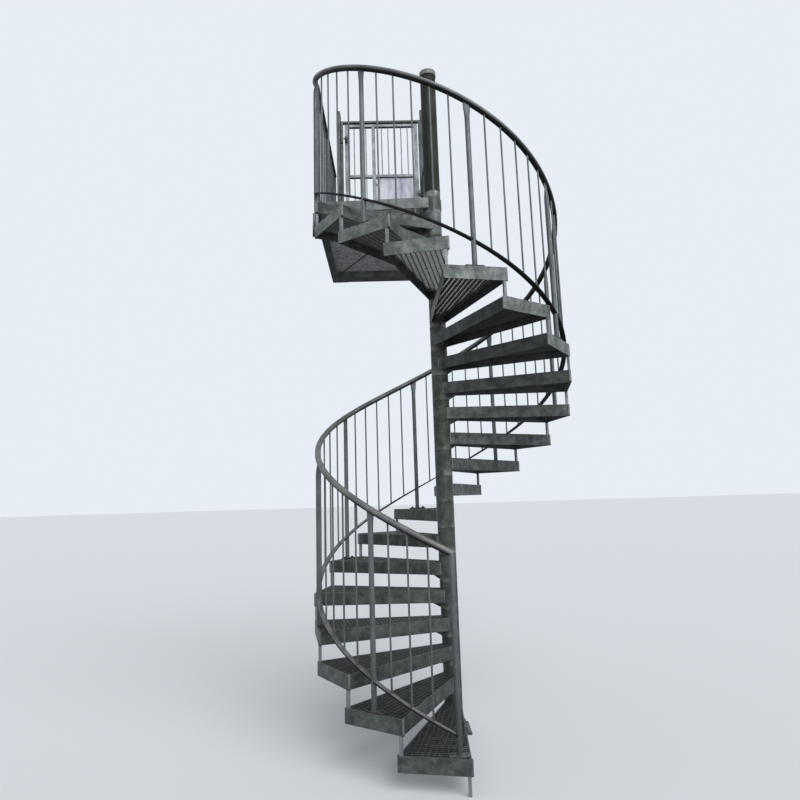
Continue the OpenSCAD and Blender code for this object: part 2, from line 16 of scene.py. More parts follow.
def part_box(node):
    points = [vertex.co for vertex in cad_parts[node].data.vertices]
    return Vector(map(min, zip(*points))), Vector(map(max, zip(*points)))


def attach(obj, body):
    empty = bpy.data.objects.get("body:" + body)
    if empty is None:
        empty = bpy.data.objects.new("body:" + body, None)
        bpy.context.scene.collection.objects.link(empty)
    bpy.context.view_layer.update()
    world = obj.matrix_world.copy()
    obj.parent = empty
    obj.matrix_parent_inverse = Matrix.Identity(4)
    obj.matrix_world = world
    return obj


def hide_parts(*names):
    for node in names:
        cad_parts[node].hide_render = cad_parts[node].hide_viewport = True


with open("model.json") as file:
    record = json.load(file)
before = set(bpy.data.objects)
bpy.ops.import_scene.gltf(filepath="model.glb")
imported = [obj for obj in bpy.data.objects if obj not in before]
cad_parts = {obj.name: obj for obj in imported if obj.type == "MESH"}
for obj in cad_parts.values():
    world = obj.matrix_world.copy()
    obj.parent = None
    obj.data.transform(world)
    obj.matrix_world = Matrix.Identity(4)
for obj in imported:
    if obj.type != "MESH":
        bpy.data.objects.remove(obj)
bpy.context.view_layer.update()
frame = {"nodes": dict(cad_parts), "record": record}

nodes = frame["nodes"]
print(len(nodes), "solid parts loaded")

# %% [markdown]
# ## The stair's own measures
# A stair is made of few numbers. Each tread rises by one riser and turns by one step angle, so
# every bolt and bar has a place that a step number gives. A fraction of a step is a place between
# two treads. A tread is a tray: its outer corners stand at the corner radius, and its side plates
# would pass the column's axis at the hub offset. The places could be measured in a drawing, but
# then a change of one size would leave them behind. All lengths are in metres.

# %% Measures of the flight
RISER = 0.190
STEP_ANGLE = 22.5
TREADS = 20
LANDING_STEP = TREADS + 1
LANDING_Z = LANDING_STEP * RISER
TREAD_ANGLE = 24.3
HALF_ANGLE = TREAD_ANGLE / 2
CORNER_RADIUS = 0.978
HUB_OFFSET = 0.054
PLATE_HEIGHT = 0.088
PLATE_T = 0.005
SLEEVE_R = 0.0635
SLEEVE_RISE = 0.056
SEAT = 0.0003
TRAY_U = CORNER_RADIUS * math.cos(math.radians(HALF_ANGLE))
TRAY_W = CORNER_RADIUS * math.sin(math.radians(HALF_ANGLE))
SIDE_ANGLE = HALF_ANGLE - math.degrees(math.asin(HUB_OFFSET / CORNER_RADIUS))
print("landing at", round(LANDING_Z, 3), "m, trays", round(TRAY_U, 3), "m long")


# %% Places by step number
def moved(x, y, z):
    return Matrix.Translation((x, y, z))


def rotated(angle, axis):
    return Matrix.Rotation(angle, 4, axis)


def turn(n):
    """Angle round the column of step number n, in radians."""
    return math.radians(-90 - (n - 1) * STEP_ANGLE)


def tread_place(n):
    """Frame of a tread: its centre line on +X, its top at height 0."""
    return moved(0, 0, n * RISER) @ rotated(turn(n) - math.radians(HALF_ANGLE), "Z")


tread_places = [tread_place(n) for n in range(1, TREADS + 1)]
print(len(tread_places), "tread places, the highest at", round(tread_places[-1].to_translation().z, 3), "m")

# %% [markdown]
# ## Weathered zinc
# Hot-dip galvanised steel starts as a bright skin of zinc crystals, the spangle. Outdoors it dulls
# to a mottled grey with a green cast, and rain draws pale and dark runs down upright faces. What
# faces down gets a tone of its own: painted shade, and on the gratings painted light. Pictures of
# zinc could be wrapped round each bar, but they would show seams and repeats. So each layer is a
# pattern on Object coordinates, which runs through the whole stair, and is mixed by how the
# surface faces.


# %% Nodes for the finishes
def new_node(tree, kind, **inputs):
    node = tree.nodes.new(kind)
    for key, value in inputs.items():
        node.inputs[key.replace("_", " ")].default_value = value
    return node


def ramp(tree, source, stops):
    """Turns a value into a tone or a colour between the given stops."""
    node = tree.nodes.new("ShaderNodeValToRGB")
    elements = node.color_ramp.elements
    while len(elements) < len(stops):
        elements.new(0.5)
    for element, (place, value) in zip(elements, stops):
        element.position = place
        element.color = (*value, 1) if isinstance(value, tuple) else (value, value, value, 1)
    tree.links.new(source, node.inputs["Fac"])
    return node.outputs["Color"]


def mix(tree, kind, factor, first, second):
    """Mixes two colours. Each of the three may be a value or another node's output."""
    node = tree.nodes.new("ShaderNodeMix")
    node.data_type = "RGBA"
    node.blend_type = kind
    for socket, value in ((node.inputs[0], factor), (node.inputs[6], first), (node.inputs[7], second)):
        if isinstance(value, bpy.types.NodeSocket):
            tree.links.new(value, socket)
        elif socket == node.inputs[0]:
            socket.default_value = value
        else:
            socket.default_value = (*value, 1)
    return node.outputs[2]


print("made: nodes that turn a value into a tone and mix two tones")


# %% Patterns on the place
def object_place(tree):
    """Where a point lies on the stair."""
    return tree.nodes.new("ShaderNodeTexCoord").outputs["Object"]


def noise(tree, place, scale, detail=4.0, roughness=0.6, stretch=None):
    """A noise on Object coordinates, drawn out along an axis if a stretch is given."""
    node = new_node(tree, "ShaderNodeTexNoise", Scale=scale, Detail=detail, Roughness=roughness)
    if stretch:
        mapping = new_node(tree, "ShaderNodeMapping", Scale=stretch)
        tree.links.new(place, mapping.inputs["Vector"])
        place = mapping.outputs["Vector"]
    tree.links.new(place, node.inputs["Vector"])
    return node.outputs["Fac"]


print("made: noise on Object coordinates")


# %% Sums on place and facing
def reckon(tree, operation, *values):
    """A Math node. Each value may be a number or another node's output."""
    node = tree.nodes.new("ShaderNodeMath")
    node.operation = operation
    for socket, value in zip(node.inputs, values):
        if isinstance(value, bpy.types.NodeSocket):
            tree.links.new(value, socket)
        else:
            socket.default_value = value
    return node.outputs[0]


def parts_of(tree, vector, axes):
    """The asked parts of a vector, such as its X and Y."""
    split = tree.nodes.new("ShaderNodeSeparateXYZ")
    tree.links.new(vector, split.inputs[0])
    return [split.outputs[axis] for axis in axes]


def part_of(tree, vector, axis):
    return parts_of(tree, vector, axis)[0]


def surface_normal(tree):
    return tree.nodes.new("ShaderNodeNewGeometry").outputs["Normal"]


def facing(tree, axis):
    """How a face looks along an axis: 0 against it, a half square to it, 1 with it."""
    return reckon(tree, "MULTIPLY_ADD", part_of(tree, surface_normal(tree), axis), 0.5, 0.5)


print("made: sums on the place and on the way a face looks")

# %% [markdown]
# ## Layers of the zinc
# The crystals are cells of a Voronoi pattern, each a little lighter or darker than the next. The
# runs are noise that is drawn out along Z: wide dark ones multiply the colour, and narrow pale
# ones are laid over it. Moss is one more noise. Each layer is a function that takes the colour so
# far and gives it back changed, so that a finish is a plain list of layers.

# %% Crystals, rain and moss
MOSS_GREEN = (0.10, 0.15, 0.095)
WIDE_RUNS = (34, 34, 1.6)
NARROW_RUNS = (58, 58, 3.4)
PALE_RUN_GAIN = 1.55


def spangled(tree, place, colour, scale):
    """Zinc crystals of their own tone each."""
    crystals = new_node(tree, "ShaderNodeTexVoronoi", Scale=scale, Randomness=1.0)
    tree.links.new(place, crystals.inputs["Vector"])
    tones = ramp(tree, crystals.outputs["Color"], [(0.2, 0.84), (0.8, 1.0)])
    return mix(tree, "MULTIPLY", 0.8, colour, tones)


def rained_on(tree, place, colour, runs, bright):
    """Dark and pale runs down the upright faces."""
    rain = noise(tree, place, 1.0, 3.0, 0.55, WIDE_RUNS)
    colour = mix(tree, "MULTIPLY", runs, colour, ramp(tree, rain, [(0.34, 0.62), (0.5, 1.0), (0.68, 0.92)]))
    pale = ramp(tree, noise(tree, place, 1.0, 4.0, 0.6, NARROW_RUNS), [(0.6, 0.0), (0.72, 0.5 * runs)])
    return mix(tree, "MIX", pale, colour, tuple(min(1.0, PALE_RUN_GAIN * value) for value in bright))


def mossy(tree, place, colour, moss):
    """Green growth in blotches."""
    growth = ramp(tree, noise(tree, place, 3.3, 5.0, 0.7), [(0.54, 0.0), (0.68, moss)])
    return mix(tree, "MIX", growth, colour, MOSS_GREEN)


print("made: layers of crystals, rain and moss")

# %% The zinc finish
GRAIN_SCALE = 95.0
GRAIN_STRENGTH = 0.12
GRAIN_DEPTH = 0.0008


def zinc(name, dull, bright, painted_underside_tone, roughness=0.55, metal=0.3, spangle=38, runs=0.5, moss=0.25, patch=5.5,
         under=(0.12, 0.44), speckle=0.25, gloss=0.5):
    """A zinc finish: dull and bright are its mottled colours. What faces down takes the painted underside
    tone, which is painted shade on most finishes and painted light on the gratings.
    """
    material = bpy.data.materials.new(name)
    material.use_nodes = True
    tree = material.node_tree
    shader = tree.nodes["Principled BSDF"]
    place = object_place(tree)
    clouds = noise(tree, place, patch, 6.0, 0.62)
    grains = noise(tree, place, GRAIN_SCALE, 3.0, 0.7)
    upward = facing(tree, "Z")

    colour = ramp(tree, clouds, [(0.38, dull), (0.62, bright)])
    colour = spangled(tree, place, colour, spangle)
    colour = mix(tree, "MULTIPLY", speckle, colour, ramp(tree, grains, [(0.36, 0.45), (0.56, 1.0)]))
    colour = rained_on(tree, place, colour, runs, bright)
    colour = mossy(tree, place, colour, moss)
    # What faces down takes the painted underside tone: painted shade on most finishes, painted light on the
    # gratings.
    colour = mix(tree, "MIX", ramp(tree, upward, [(under[0], 0.9), (under[1], 0.0)]), colour, painted_underside_tone)
    wear = ramp(tree, clouds, [(0.3, roughness + 0.12), (0.7, roughness - 0.08)])
    shine = ramp(tree, upward, [(under[0], 0.06), (under[1], gloss)])
    tree.links.new(colour, shader.inputs["Base Color"])
    tree.links.new(wear, shader.inputs["Roughness"])
    tree.links.new(shine, shader.inputs["Specular IOR Level"])
    shader.inputs["Metallic"].default_value = metal

    grain = new_node(tree, "ShaderNodeBump", Strength=GRAIN_STRENGTH, Distance=GRAIN_DEPTH)
    tree.links.new(grains, grain.inputs["Height"])
    tree.links.new(grain.outputs["Normal"], shader.inputs["Normal"])
    return material


print("made: the zinc finish")

# %% [markdown]
# ## Zinc of trays, landing and gratings
# The tray plates are mottled in patches of a hand's width. The gratings have no room for patches
# or runs, and their undersides are pale with painted light, as if lit through the mesh. The landing's
# fine mesh has the palest underside. One zinc for all would be quicker, but on the real stair the
# parts differ.

# %% Zinc of trays, landing and gratings
plate_zinc = zinc("plate_zinc", (0.118, 0.142, 0.138), (0.275, 0.298, 0.295), (0.014, 0.016, 0.016),
                  runs=0.3, patch=14.0, speckle=0.55, gloss=0.35)
landing_zinc = zinc("landing_zinc", (0.145, 0.168, 0.168), (0.275, 0.302, 0.305), (0.010, 0.011, 0.012),
                    runs=0.4, moss=0.3, patch=9.0, under=(0.2, 0.46), speckle=0.4, gloss=0.4)
mesh_wear = {"spangle": 60, "moss": 0.1, "runs": 0.0, "patch": 24.0, "speckle": 0.6}
# The pale third colour of the grating and mesh zinc is painted light on their undersides.
grating_zinc = zinc("grating_zinc", (0.19, 0.205, 0.20), (0.33, 0.35, 0.345), (0.36, 0.37, 0.365),
                    **mesh_wear)
mesh_zinc = zinc("mesh_zinc", (0.16, 0.17, 0.18), (0.34, 0.35, 0.37), (0.62, 0.64, 0.68), **mesh_wear)
print("made:", plate_zinc.name, landing_zinc.name, grating_zinc.name, mesh_zinc.name)

# %% [markdown]
# ## Zinc of guards and gate
# The zinc on tubes and round bars is smoother and shinier than that on plates. The guard on the
# landing's left stands in shade, which its darker zinc paints in, the gate's fixed frame is dark and
# its leaf is the brightest piece. A lamp could make that difference, but then the other pieces
# would change with it.

# %% Zinc of guards and gate
bar_wear = {"roughness": 0.5, "metal": 0.35, "spangle": 55, "moss": 0.08, "speckle": 0.15}
handrail_zinc = zinc("handrail_zinc", (0.15, 0.155, 0.155), (0.22, 0.225, 0.22), (0.006, 0.007, 0.008),
                     runs=0.2, under=(0.22, 0.58), **bar_wear)
post_zinc = zinc("post_zinc", (0.125, 0.14, 0.148), (0.18, 0.20, 0.21), (0.012, 0.012, 0.014),
                 runs=0.25, under=(0.2, 0.5), **bar_wear)
# Painted shade: a darker copy of the post zinc for the guard that stands in shade.
painted_shade_zinc = zinc("painted_shade_zinc", (0.050, 0.056, 0.066), (0.085, 0.094, 0.108), (0.008, 0.008, 0.010),
                  runs=0.25, under=(0.2, 0.5), **bar_wear)
# The flat rail's sides and underside take the painted shade, so its top reads as lit.
flat_rail_zinc = zinc("flat_rail_zinc", (0.15, 0.15, 0.155), (0.22, 0.22, 0.23), (0.008, 0.009, 0.010),
                      runs=0.2, under=(0.5, 0.8))
frame_zinc = zinc("frame_zinc", (0.078, 0.098, 0.090), (0.125, 0.145, 0.138), (0.010, 0.010, 0.012),
                  runs=0.4, patch=9.0, under=(0.2, 0.5), gloss=0.3)
gate_zinc = zinc("gate_zinc", (0.24, 0.265, 0.28), (0.36, 0.395, 0.42), (0.006, 0.006, 0.008),
                 runs=0.4, moss=0.12, patch=9.0, under=(0.2, 0.5))
print("made:", handrail_zinc.name, post_zinc.name, painted_shade_zinc.name, flat_rail_zinc.name, frame_zinc.name,
      gate_zinc.name)

# %% [markdown]
# ## Zinc of column, feet and welds
# The column above the landing is very dark, and its cap is green with moss. The feet of the posts
# are nearly black, and the weld beads are paler than the plates. The joints are filled with dirt.
# That dirt could be one flat colour, but the zinc finish without metal gives it the same layers.

# %% Zinc of column, feet and welds
column_zinc = zinc("column_zinc", (0.027, 0.028, 0.020), (0.044, 0.044, 0.032), (0.02, 0.021, 0.02),
                   roughness=0.62, metal=0.2, spangle=30, runs=0.7, moss=0.12, gloss=0.2)
cap_zinc = zinc("cap_zinc", (0.15, 0.175, 0.15), (0.25, 0.27, 0.24), (0.03, 0.035, 0.028),
                moss=0.5, patch=12.0)
foot_zinc = zinc("foot_zinc", (0.010, 0.012, 0.009), (0.030, 0.033, 0.026), (0.006, 0.007, 0.006),
                 moss=0.15, patch=20.0)
# Paler zinc of the weld beads; on the tray corners it is also a painted highlight.
pale_weld_and_highlight_zinc = zinc("pale_weld_and_highlight_zinc", (0.21, 0.23, 0.225), (0.33, 0.35, 0.34), (0.06, 0.065, 0.06),
                 runs=0.2, moss=0.1, patch=15.0)
# A dark finish: dirt in the sleeve joints, and painted shade in the latch post's seam.
dirt_and_shade_line = zinc("dirt_and_shade_line", (0.016, 0.018, 0.016), (0.04, 0.045, 0.038), (0.01, 0.01, 0.01),
                 metal=0.0, roughness=0.85)
print("made:", column_zinc.name, cap_zinc.name, foot_zinc.name, pale_weld_and_highlight_zinc.name, dirt_and_shade_line.name)

# %% [markdown]
# ## Tones that depend on the place
# Steel doesn't weather evenly, and light doesn't fall evenly. The sleeves wear olive dirt, while
# the duller plates under the next tread and the darker tones near the ground are painted shade. This
# could be painted by hand, tread by tread. But the rule is the same at each tread, so a few sums on
# the place of a point and the way its face looks do it for all. Each rule passes a finish's colour
# through one more step.


# %% Sums round the column
def from_axis(tree):
    """How far a point lies from the column's axis."""
    squares = [reckon(tree, "MULTIPLY", part, part) for part in parts_of(tree, object_place(tree), "XY")]
    return reckon(tree, "SQRT", reckon(tree, "ADD", *squares))


def outward(tree):
    """1 on faces that look away from the column or at it, 0 on faces that look along the flight."""
    pairs = zip(parts_of(tree, object_place(tree), "XY"), parts_of(tree, surface_normal(tree), "XY"))
    products = [reckon(tree, "MULTIPLY", place, normal) for place, normal in pairs]
    along = reckon(tree, "DIVIDE", reckon(tree, "ADD", *products), from_axis(tree))
    return ramp(tree, reckon(tree, "ABSOLUTE", along), [(0.6, 0.0), (0.9, 1.0)])


def ramp_metres(tree, axis, reach, stops):
    """A ramp over a coordinate, with stops in metres. A ramp ends at 1, so all is divided by a reach."""
    share = reckon(tree, "MULTIPLY", part_of(tree, object_place(tree), axis), 1 / reach)
    return ramp(tree, share, [(metres / reach, value) for metres, value in stops])


def recolour(material, change):
    """Passes the finish's colour through one more step."""
    tree = material.node_tree
    socket = tree.nodes["Principled BSDF"].inputs["Base Color"]
    tree.links.new(change(tree, socket.links[0].from_socket), socket)
    print(material.name, "now has", len(tree.nodes), "nodes")


print("made: sums round the column and a way to add a step to a finish")

# %% [markdown]
# ## Painted shade on the sides and painted light on the tops
# The outer plate of a tray keeps its tone, and its top edge is lighter with painted light, as if
# lit from above. The side plates lie under the next tread and get painted shade, most of all those
# that look to the left. On the post feet the top is the only part that isn't black, lighter with
# the same painted light. Two finishes on one tray would need its faces sorted by hand, so the way a
# face looks decides its tone.


# %% Trays and post feet
def paint_side_shade(tree, colour):
    """Darkens the side plates with painted shade, and leaves the outer plates."""
    side = ramp(tree, facing(tree, "X"), [(0.05, 0.32), (0.5, 0.62)])
    return mix(tree, "MULTIPLY", 1.0, colour, mix(tree, "MIX", outward(tree), side, (1.0, 1.0, 1.0)))


def paint_top_light(tone):
    """A step that paints light on what faces up, as if lit from above."""
    def step(tree, colour):
        up = part_of(tree, surface_normal(tree), "Z")
        return mix(tree, "MIX", ramp(tree, up, [(0.7, 0.0), (0.9, 0.7)]), colour, tone)
    return step


# Painted shade on the side plates.
recolour(plate_zinc, paint_side_shade)
# Painted light on what faces up, on the trays and on the post feet.
recolour(plate_zinc, paint_top_light((0.30, 0.31, 0.31)))
recolour(foot_zinc, paint_top_light((0.075, 0.08, 0.072)))

# %% [markdown]
# ## Sides of the grating bars
# A bearing bar is deep and stands close to the next, so its sides get painted shade. The cross bars
# look outward, and their sides get painted light high up and painted shade on the low treads.
# Which bar is which follows from the way the side looks, so heavy and thin bars need only one
# finish.

# %% Gratings
BEARING_SIDE_SHADE = (0.035, 0.040, 0.040)
CROSS_SIDE_LIGHT_AND_SHADE = [(0.2, (0.055, 0.06, 0.06)), (0.5, (0.12, 0.13, 0.13)), (2.25, (0.34, 0.36, 0.35))]


def paint_bar_side_light_and_shade(tree, colour):
    """Gives the upright sides of the bars painted shade, and the cross bars' sides painted light high up."""
    up = part_of(tree, surface_normal(tree), "Z")
    upright = ramp(tree, reckon(tree, "ABSOLUTE", up), [(0.3, 0.8), (0.7, 0.0)])
    side = mix(tree, "MIX", outward(tree), BEARING_SIDE_SHADE, ramp_metres(tree, "Z", 2.5, CROSS_SIDE_LIGHT_AND_SHADE))
    return mix(tree, "MIX", upright, colour, side)


recolour(grating_zinc, paint_bar_side_light_and_shade)

# %% [markdown]
# ## Painted shade near the ground
# The lowest treads lie in deeper shade, and that shade is painted in. A mesh laid over the steel
# would be heavy for something without thickness. So the tone darkens toward the ground, and a noise
# added to the height keeps its edge ragged. The painted shade lies on plates, posts, welds and
# gratings alike, so one step serves four finishes.

# %% Painted shade near the ground
LOW_SHADE = (0.48, 0.49, 0.50)
UNSHADED = (1.0, 1.0, 1.0)
RAGGED = 0.3


def paint_low_shade(tree, colour):
    """Paints shade on what lies low by darkening it."""
    place = object_place(tree)
    rise = reckon(tree, "MULTIPLY", part_of(tree, place, "Z"), 0.5)
    height = reckon(tree, "MULTIPLY_ADD", noise(tree, place, 4.0), RAGGED, rise)
    return mix(tree, "MULTIPLY", 1.0, colour, ramp(tree, height, [(0.22, LOW_SHADE), (0.8, UNSHADED)]))


for shaded_finish in (plate_zinc, post_zinc, pale_weld_and_highlight_zinc, grating_zinc):
    recolour(shaded_finish, paint_low_shade)

# %% [markdown]
# ## Painted shade under the landing and on the column
# The inside of the landing's back plate lies in shade under the landing, painted in as a darker
# tone. The left side of the column gets no sun and is darker, painted shade too. Both could be
# painted by hand, but they are faces that look one way, so the normal finds them.

# %% Landing and column
BACK_PLATE_SHADE = (0.030, 0.032, 0.034)
COLUMN_SHADE = (0.02, 0.021, 0.026)


def paint_back_plate_shade(tree, colour):
    """Paints shade on what lies at the wall and looks away from it, by darkening it."""
    back = ramp_metres(tree, "Y", 2.0, [(1.48, 0.0), (1.52, 1.0)])
    toward_wall = part_of(tree, surface_normal(tree), "Y")
    inward = ramp(tree, reckon(tree, "MULTIPLY", toward_wall, -1.0), [(0.5, 0.0), (0.8, 0.75)])
    return mix(tree, "MIX", reckon(tree, "MULTIPLY", back, inward), colour, BACK_PLATE_SHADE)


def dark_left_side(tree, colour):
    """Paints shade on what looks to the left, by darkening it."""
    return mix(tree, "MIX", ramp(tree, facing(tree, "X"), [(0.1, 0.7), (0.4, 0.0)]), colour, COLUMN_SHADE)


recolour(landing_zinc, paint_back_plate_shade)
recolour(column_zinc, dark_left_side)

# %% [markdown]
# ## Dirt and bloom on the sleeves
# Each tread and the landing have a sleeve round the pole, in one piece with their plates. The
# sleeves are olive with dirt, and water that seeps from a joint leaves a pale bloom on the sleeve
# above it. The uppermost sleeve is washed cleaner. The distance from the axis tells sleeve from
# plate, and the height within one riser tells how far up a sleeve a point lies.

# %% Sleeves
OLIVE = [(0.36, (0.026, 0.030, 0.022)), (0.64, (0.058, 0.064, 0.050))]
SKIN = 0.0012
SKIN_END = 0.0022
WASHED_FROM = 3.66
WASHED_FULLY = 3.68


def sleeve_tone(last_bloom, bloom_tone, washed):
    """A step that colours the sleeves. The last bloom is the one that lies below the next joint."""
    def step(tree, colour):
        place = object_place(tree)
        near = ramp(tree, from_axis(tree), [(SLEEVE_R + SKIN, 1.0), (SLEEVE_R + SKIN_END, 0.0)])
        above_joint = reckon(tree, "SUBTRACT", part_of(tree, place, "Z"), SLEEVE_RISE)
        share = reckon(tree, "FRACT", reckon(tree, "DIVIDE", above_joint, RISER))
        cloud = noise(tree, place, 14.0, 5.0, 0.65)
        rise = ramp(tree, share, [(0.0, 1.0), (0.1, 0.7), (0.26, 0.0), (1.0 - 0.3 * last_bloom, 0.0),
                                  (1.0 - 0.2 * last_bloom, last_bloom)])
        bloom = reckon(tree, "MULTIPLY", rise, ramp(tree, cloud, [(0.42, 0.1), (0.58, 1.0)]))
        tone = mix(tree, "MIX", bloom, ramp(tree, cloud, OLIVE), bloom_tone)
        clean = ramp_metres(tree, "Z", 5.0, [(WASHED_FROM, 0.0), (WASHED_FULLY, washed)])
        return mix(tree, "MIX", reckon(tree, "SUBTRACT", near, clean), colour, tone)
    return step


recolour(plate_zinc, sleeve_tone(0.1, (0.20, 0.22, 0.185), 0.65))
recolour(landing_zinc, sleeve_tone(1.0, (0.42, 0.46, 0.42), 0.0))

# %% [markdown]
# ## Black fittings and the pale sheet
# The hinges and the latch of the gate are black and a little shiny, with fine scuffs. The sheet in
# the gate is pale, blotched and streaked. Its paleness is partly its own colour and partly painted
# light, the sky shining through it. They could be plain colours, but no surface outdoors stays
# even, so a noise on Object coordinates varies the colour and the gloss of both.


# %% The black finish and the sheet's finish
def plain_finish(name, stops, gloss, scale, stretch=None):
    """A finish with one noise that varies the colour and the gloss."""
    material = bpy.data.materials.new(name)
    material.use_nodes = True
    tree = material.node_tree
    shader = tree.nodes["Principled BSDF"]
    marks = noise(tree, object_place(tree), scale, 5.0, 0.6, stretch)
    tree.links.new(ramp(tree, marks, stops), shader.inputs["Base Color"])
    tree.links.new(ramp(tree, marks, [(0.3, gloss[0]), (0.7, gloss[1])]), shader.inputs["Roughness"])
    return material


black_fittings = plain_finish("black_fittings", [(0.4, (0.010, 0.010, 0.012)), (0.7, (0.035, 0.035, 0.037))],
                              (0.35, 0.6), 60.0)
# Partly painted light: the sheet's pale tones stand for the sky shining through it.
pale_sheet = plain_finish("pale_sheet", [(0.36, (0.34, 0.32, 0.43)), (0.5, (0.60, 0.60, 0.72)),
                                         (0.64, (0.86, 0.88, 0.96))], (0.45, 0.6), 1.0, (14, 14, 4))
print("made:", black_fittings.name, pale_sheet.name)

# %% [markdown]
# ## Finish on the solid parts
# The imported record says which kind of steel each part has. The same names pick the finish here,
# so that a new part is dressed without a new line. A few parts that weather in their own way are
# named.

# %% Dress the solids
finishes = {"galvanised_plate": plate_zinc, "galvanised_grating": grating_zinc, "galvanised_rail": post_zinc,
            "galvanised_gate": gate_zinc, "weathered_column": column_zinc, "black_steel": black_fittings,
            "pale_sheet": pale_sheet}
own_finish = {"base_plate": plate_zinc, "rim_spacers": gate_zinc, "landing_frame": landing_zinc,
              "pole_cap": cap_zinc, "bottom_rail": flat_rail_zinc, "handrail": handrail_zinc,
              "gate_frame": frame_zinc, "landing_gratings": mesh_zinc, "landing_guard_left": painted_shade_zinc}
slots = {part["node"]: part["material_slot"] for part in frame["record"]["subparts"]}
for name, part in nodes.items():
    part.data.materials.clear()
    part.data.materials.append(own_finish.get(name, finishes[slots[name]]))
print("finish on", len(nodes), "solid parts")

# %% [markdown]
# ## Working habits
# Blender's tools act on what is selected, so each step starts with nothing selected. A finished
# piece has its place in its mesh and its object at the origin, so that patterns stay put. Then it
# rides on a body of the stair: the fixed stair, or the gate that swings.


# %% Select and settle
def clear_selection():
    """Selects nothing, and leaves edit mode if a cell stopped there."""
    if bpy.context.object and bpy.context.object.mode != "OBJECT":
        bpy.ops.object.mode_set(mode="OBJECT")
    bpy.ops.object.select_all(action="DESELECT")


def pick(*pieces):
    """Selects these pieces alone. The last one is the active one."""
    clear_selection()
    for piece in pieces:
        piece.select_set(True)
    bpy.context.view_layer.objects.active = pieces[-1]


def settle(piece, matrix=None):
    """Puts the piece's place, turn and size in its mesh."""
    if matrix is not None:
        piece.matrix_world = matrix @ piece.matrix_world
    pick(piece)
    bpy.ops.object.transform_apply(location=True, rotation=True, scale=True)
    return piece


print("made: picking and settling of pieces")


# %% Join and dress
def join(pieces, name):
    pick(*pieces)
    if len(pieces) > 1:
        bpy.ops.object.join()
    joined = bpy.context.object
    joined.name = name
    joined.data.name = name
    return joined


def dress(piece, material, body="stair"):
    """Gives a finished piece its finish and the body it rides on."""
    piece.data.materials.clear()
    piece.data.materials.append(material)
    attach(piece, body)
    print(piece.name, len(piece.data.polygons), "faces")


print("made: joining and dressing of pieces")


# %% Open in edit mode
def edit_all(piece):
    """Opens the piece in edit mode with all of it selected."""
    pick(piece)
    bpy.ops.object.mode_set(mode="EDIT")
    bpy.ops.mesh.select_all(action="SELECT")


def edit_part(piece, kind, test):
    """Opens the piece in edit mode with the faces, edges or points selected that the test picks."""
    pick(piece)
    bpy.ops.object.mode_set(mode="EDIT")
    bpy.ops.mesh.select_mode(type=kind)
    bpy.ops.mesh.select_all(action="DESELECT")
    bpy.ops.object.mode_set(mode="OBJECT")
    elements = {"FACE": piece.data.polygons, "EDGE": piece.data.edges, "VERT": piece.data.vertices}
    for element in elements[kind]:
        element.select = test(element)
    bpy.ops.object.mode_set(mode="EDIT")


print("made: selection by place in edit mode")


# %% Cut, close and smooth
def cut(piece, point, normal, fill=True, near=math.inf):
    """Cuts off what lies beyond a plane, on the side that the normal points to and near the point."""
    edit_part(piece, "FACE", lambda face: (face.center - Vector(point)).length < near)
    bpy.ops.mesh.bisect(plane_co=point, plane_no=normal, use_fill=fill, clear_outer=True)
    bpy.ops.object.mode_set(mode="OBJECT")


def fill_ends(piece):
    """Closes the open ends of a tube and turns its faces outward."""
    edit_all(piece)
    bpy.ops.mesh.fill_holes(sides=0)
    bpy.ops.mesh.select_all(action="SELECT")
    bpy.ops.mesh.normals_make_consistent(inside=False)
    bpy.ops.object.mode_set(mode="OBJECT")


def smooth(piece, under=35):
    """Shades smooth where two faces meet at less than an angle in degrees."""
    pick(piece)
    bpy.ops.object.shade_smooth_by_angle(angle=math.radians(under))


print("made: cutting, closing and smoothing")

# %% [markdown]
# ## The guard line
# Posts, bars and rails of the guard stand on one helix, a little inside the outer edges of the
# trays. A place on it is a step number and a height. Its frame looks outward with +X and down the
# flight with +Y, so a piece that is made once fits at every step.

# %% Measures of the guard
RAIL_INSET = 0.018
RAIL_RADIUS = TRAY_U - RAIL_INSET
RAIL_HEIGHT = 1.062
RAIL_R = 0.0212
RAIL_SLOPE = math.atan(RISER / (math.radians(STEP_ANGLE) * RAIL_RADIUS))
NEWEL_STEP = 1.165
RAIL_END_STEP = LANDING_STEP + 0.15
GUARD_LEAN = 0.018


def rail_place(n, z):
    """Frame on the guard line: +X outward, +Y down the flight."""
    return moved(RAIL_RADIUS * math.cos(turn(n)), RAIL_RADIUS * math.sin(turn(n)), z) @ rotated(turn(n), "Z")


print("guard at radius", round(RAIL_RADIUS, 3), "m, slope", round(math.degrees(RAIL_SLOPE), 1), "degrees")

# %% [markdown]
# ## The handrail
# The real handrail is one bent tube, which the solids build of straight pieces. A curve with a
# round bevel could follow the helix, but its section would twist on the way. So a ring of the
# tube's section is swept round the column with the Screw modifier, which lifts it while it turns.
# The sweep runs a little past both ends and is cut off along the mitres. A level tube, cut along
# the same mitre, goes on over the landing.

# %% A section and its sweep
SECTIONS_PER_STEP = 9
FEWEST_SECTIONS = 3


def section_ring(corners, size):
    """An open ring flat on the ground: four corners make a rectangle, more make a circle."""
    unit = 1 / math.sqrt(2) if corners == 4 else 1
    bpy.ops.mesh.primitive_circle_add(vertices=corners, radius=unit, rotation=(0, 0, math.pi / corners),
                                      fill_type="NOTHING")
    ring = settle(bpy.context.object)
    bpy.ops.transform.resize(value=(*size, 1), center_override=(0, 0, 0))
    return settle(ring)


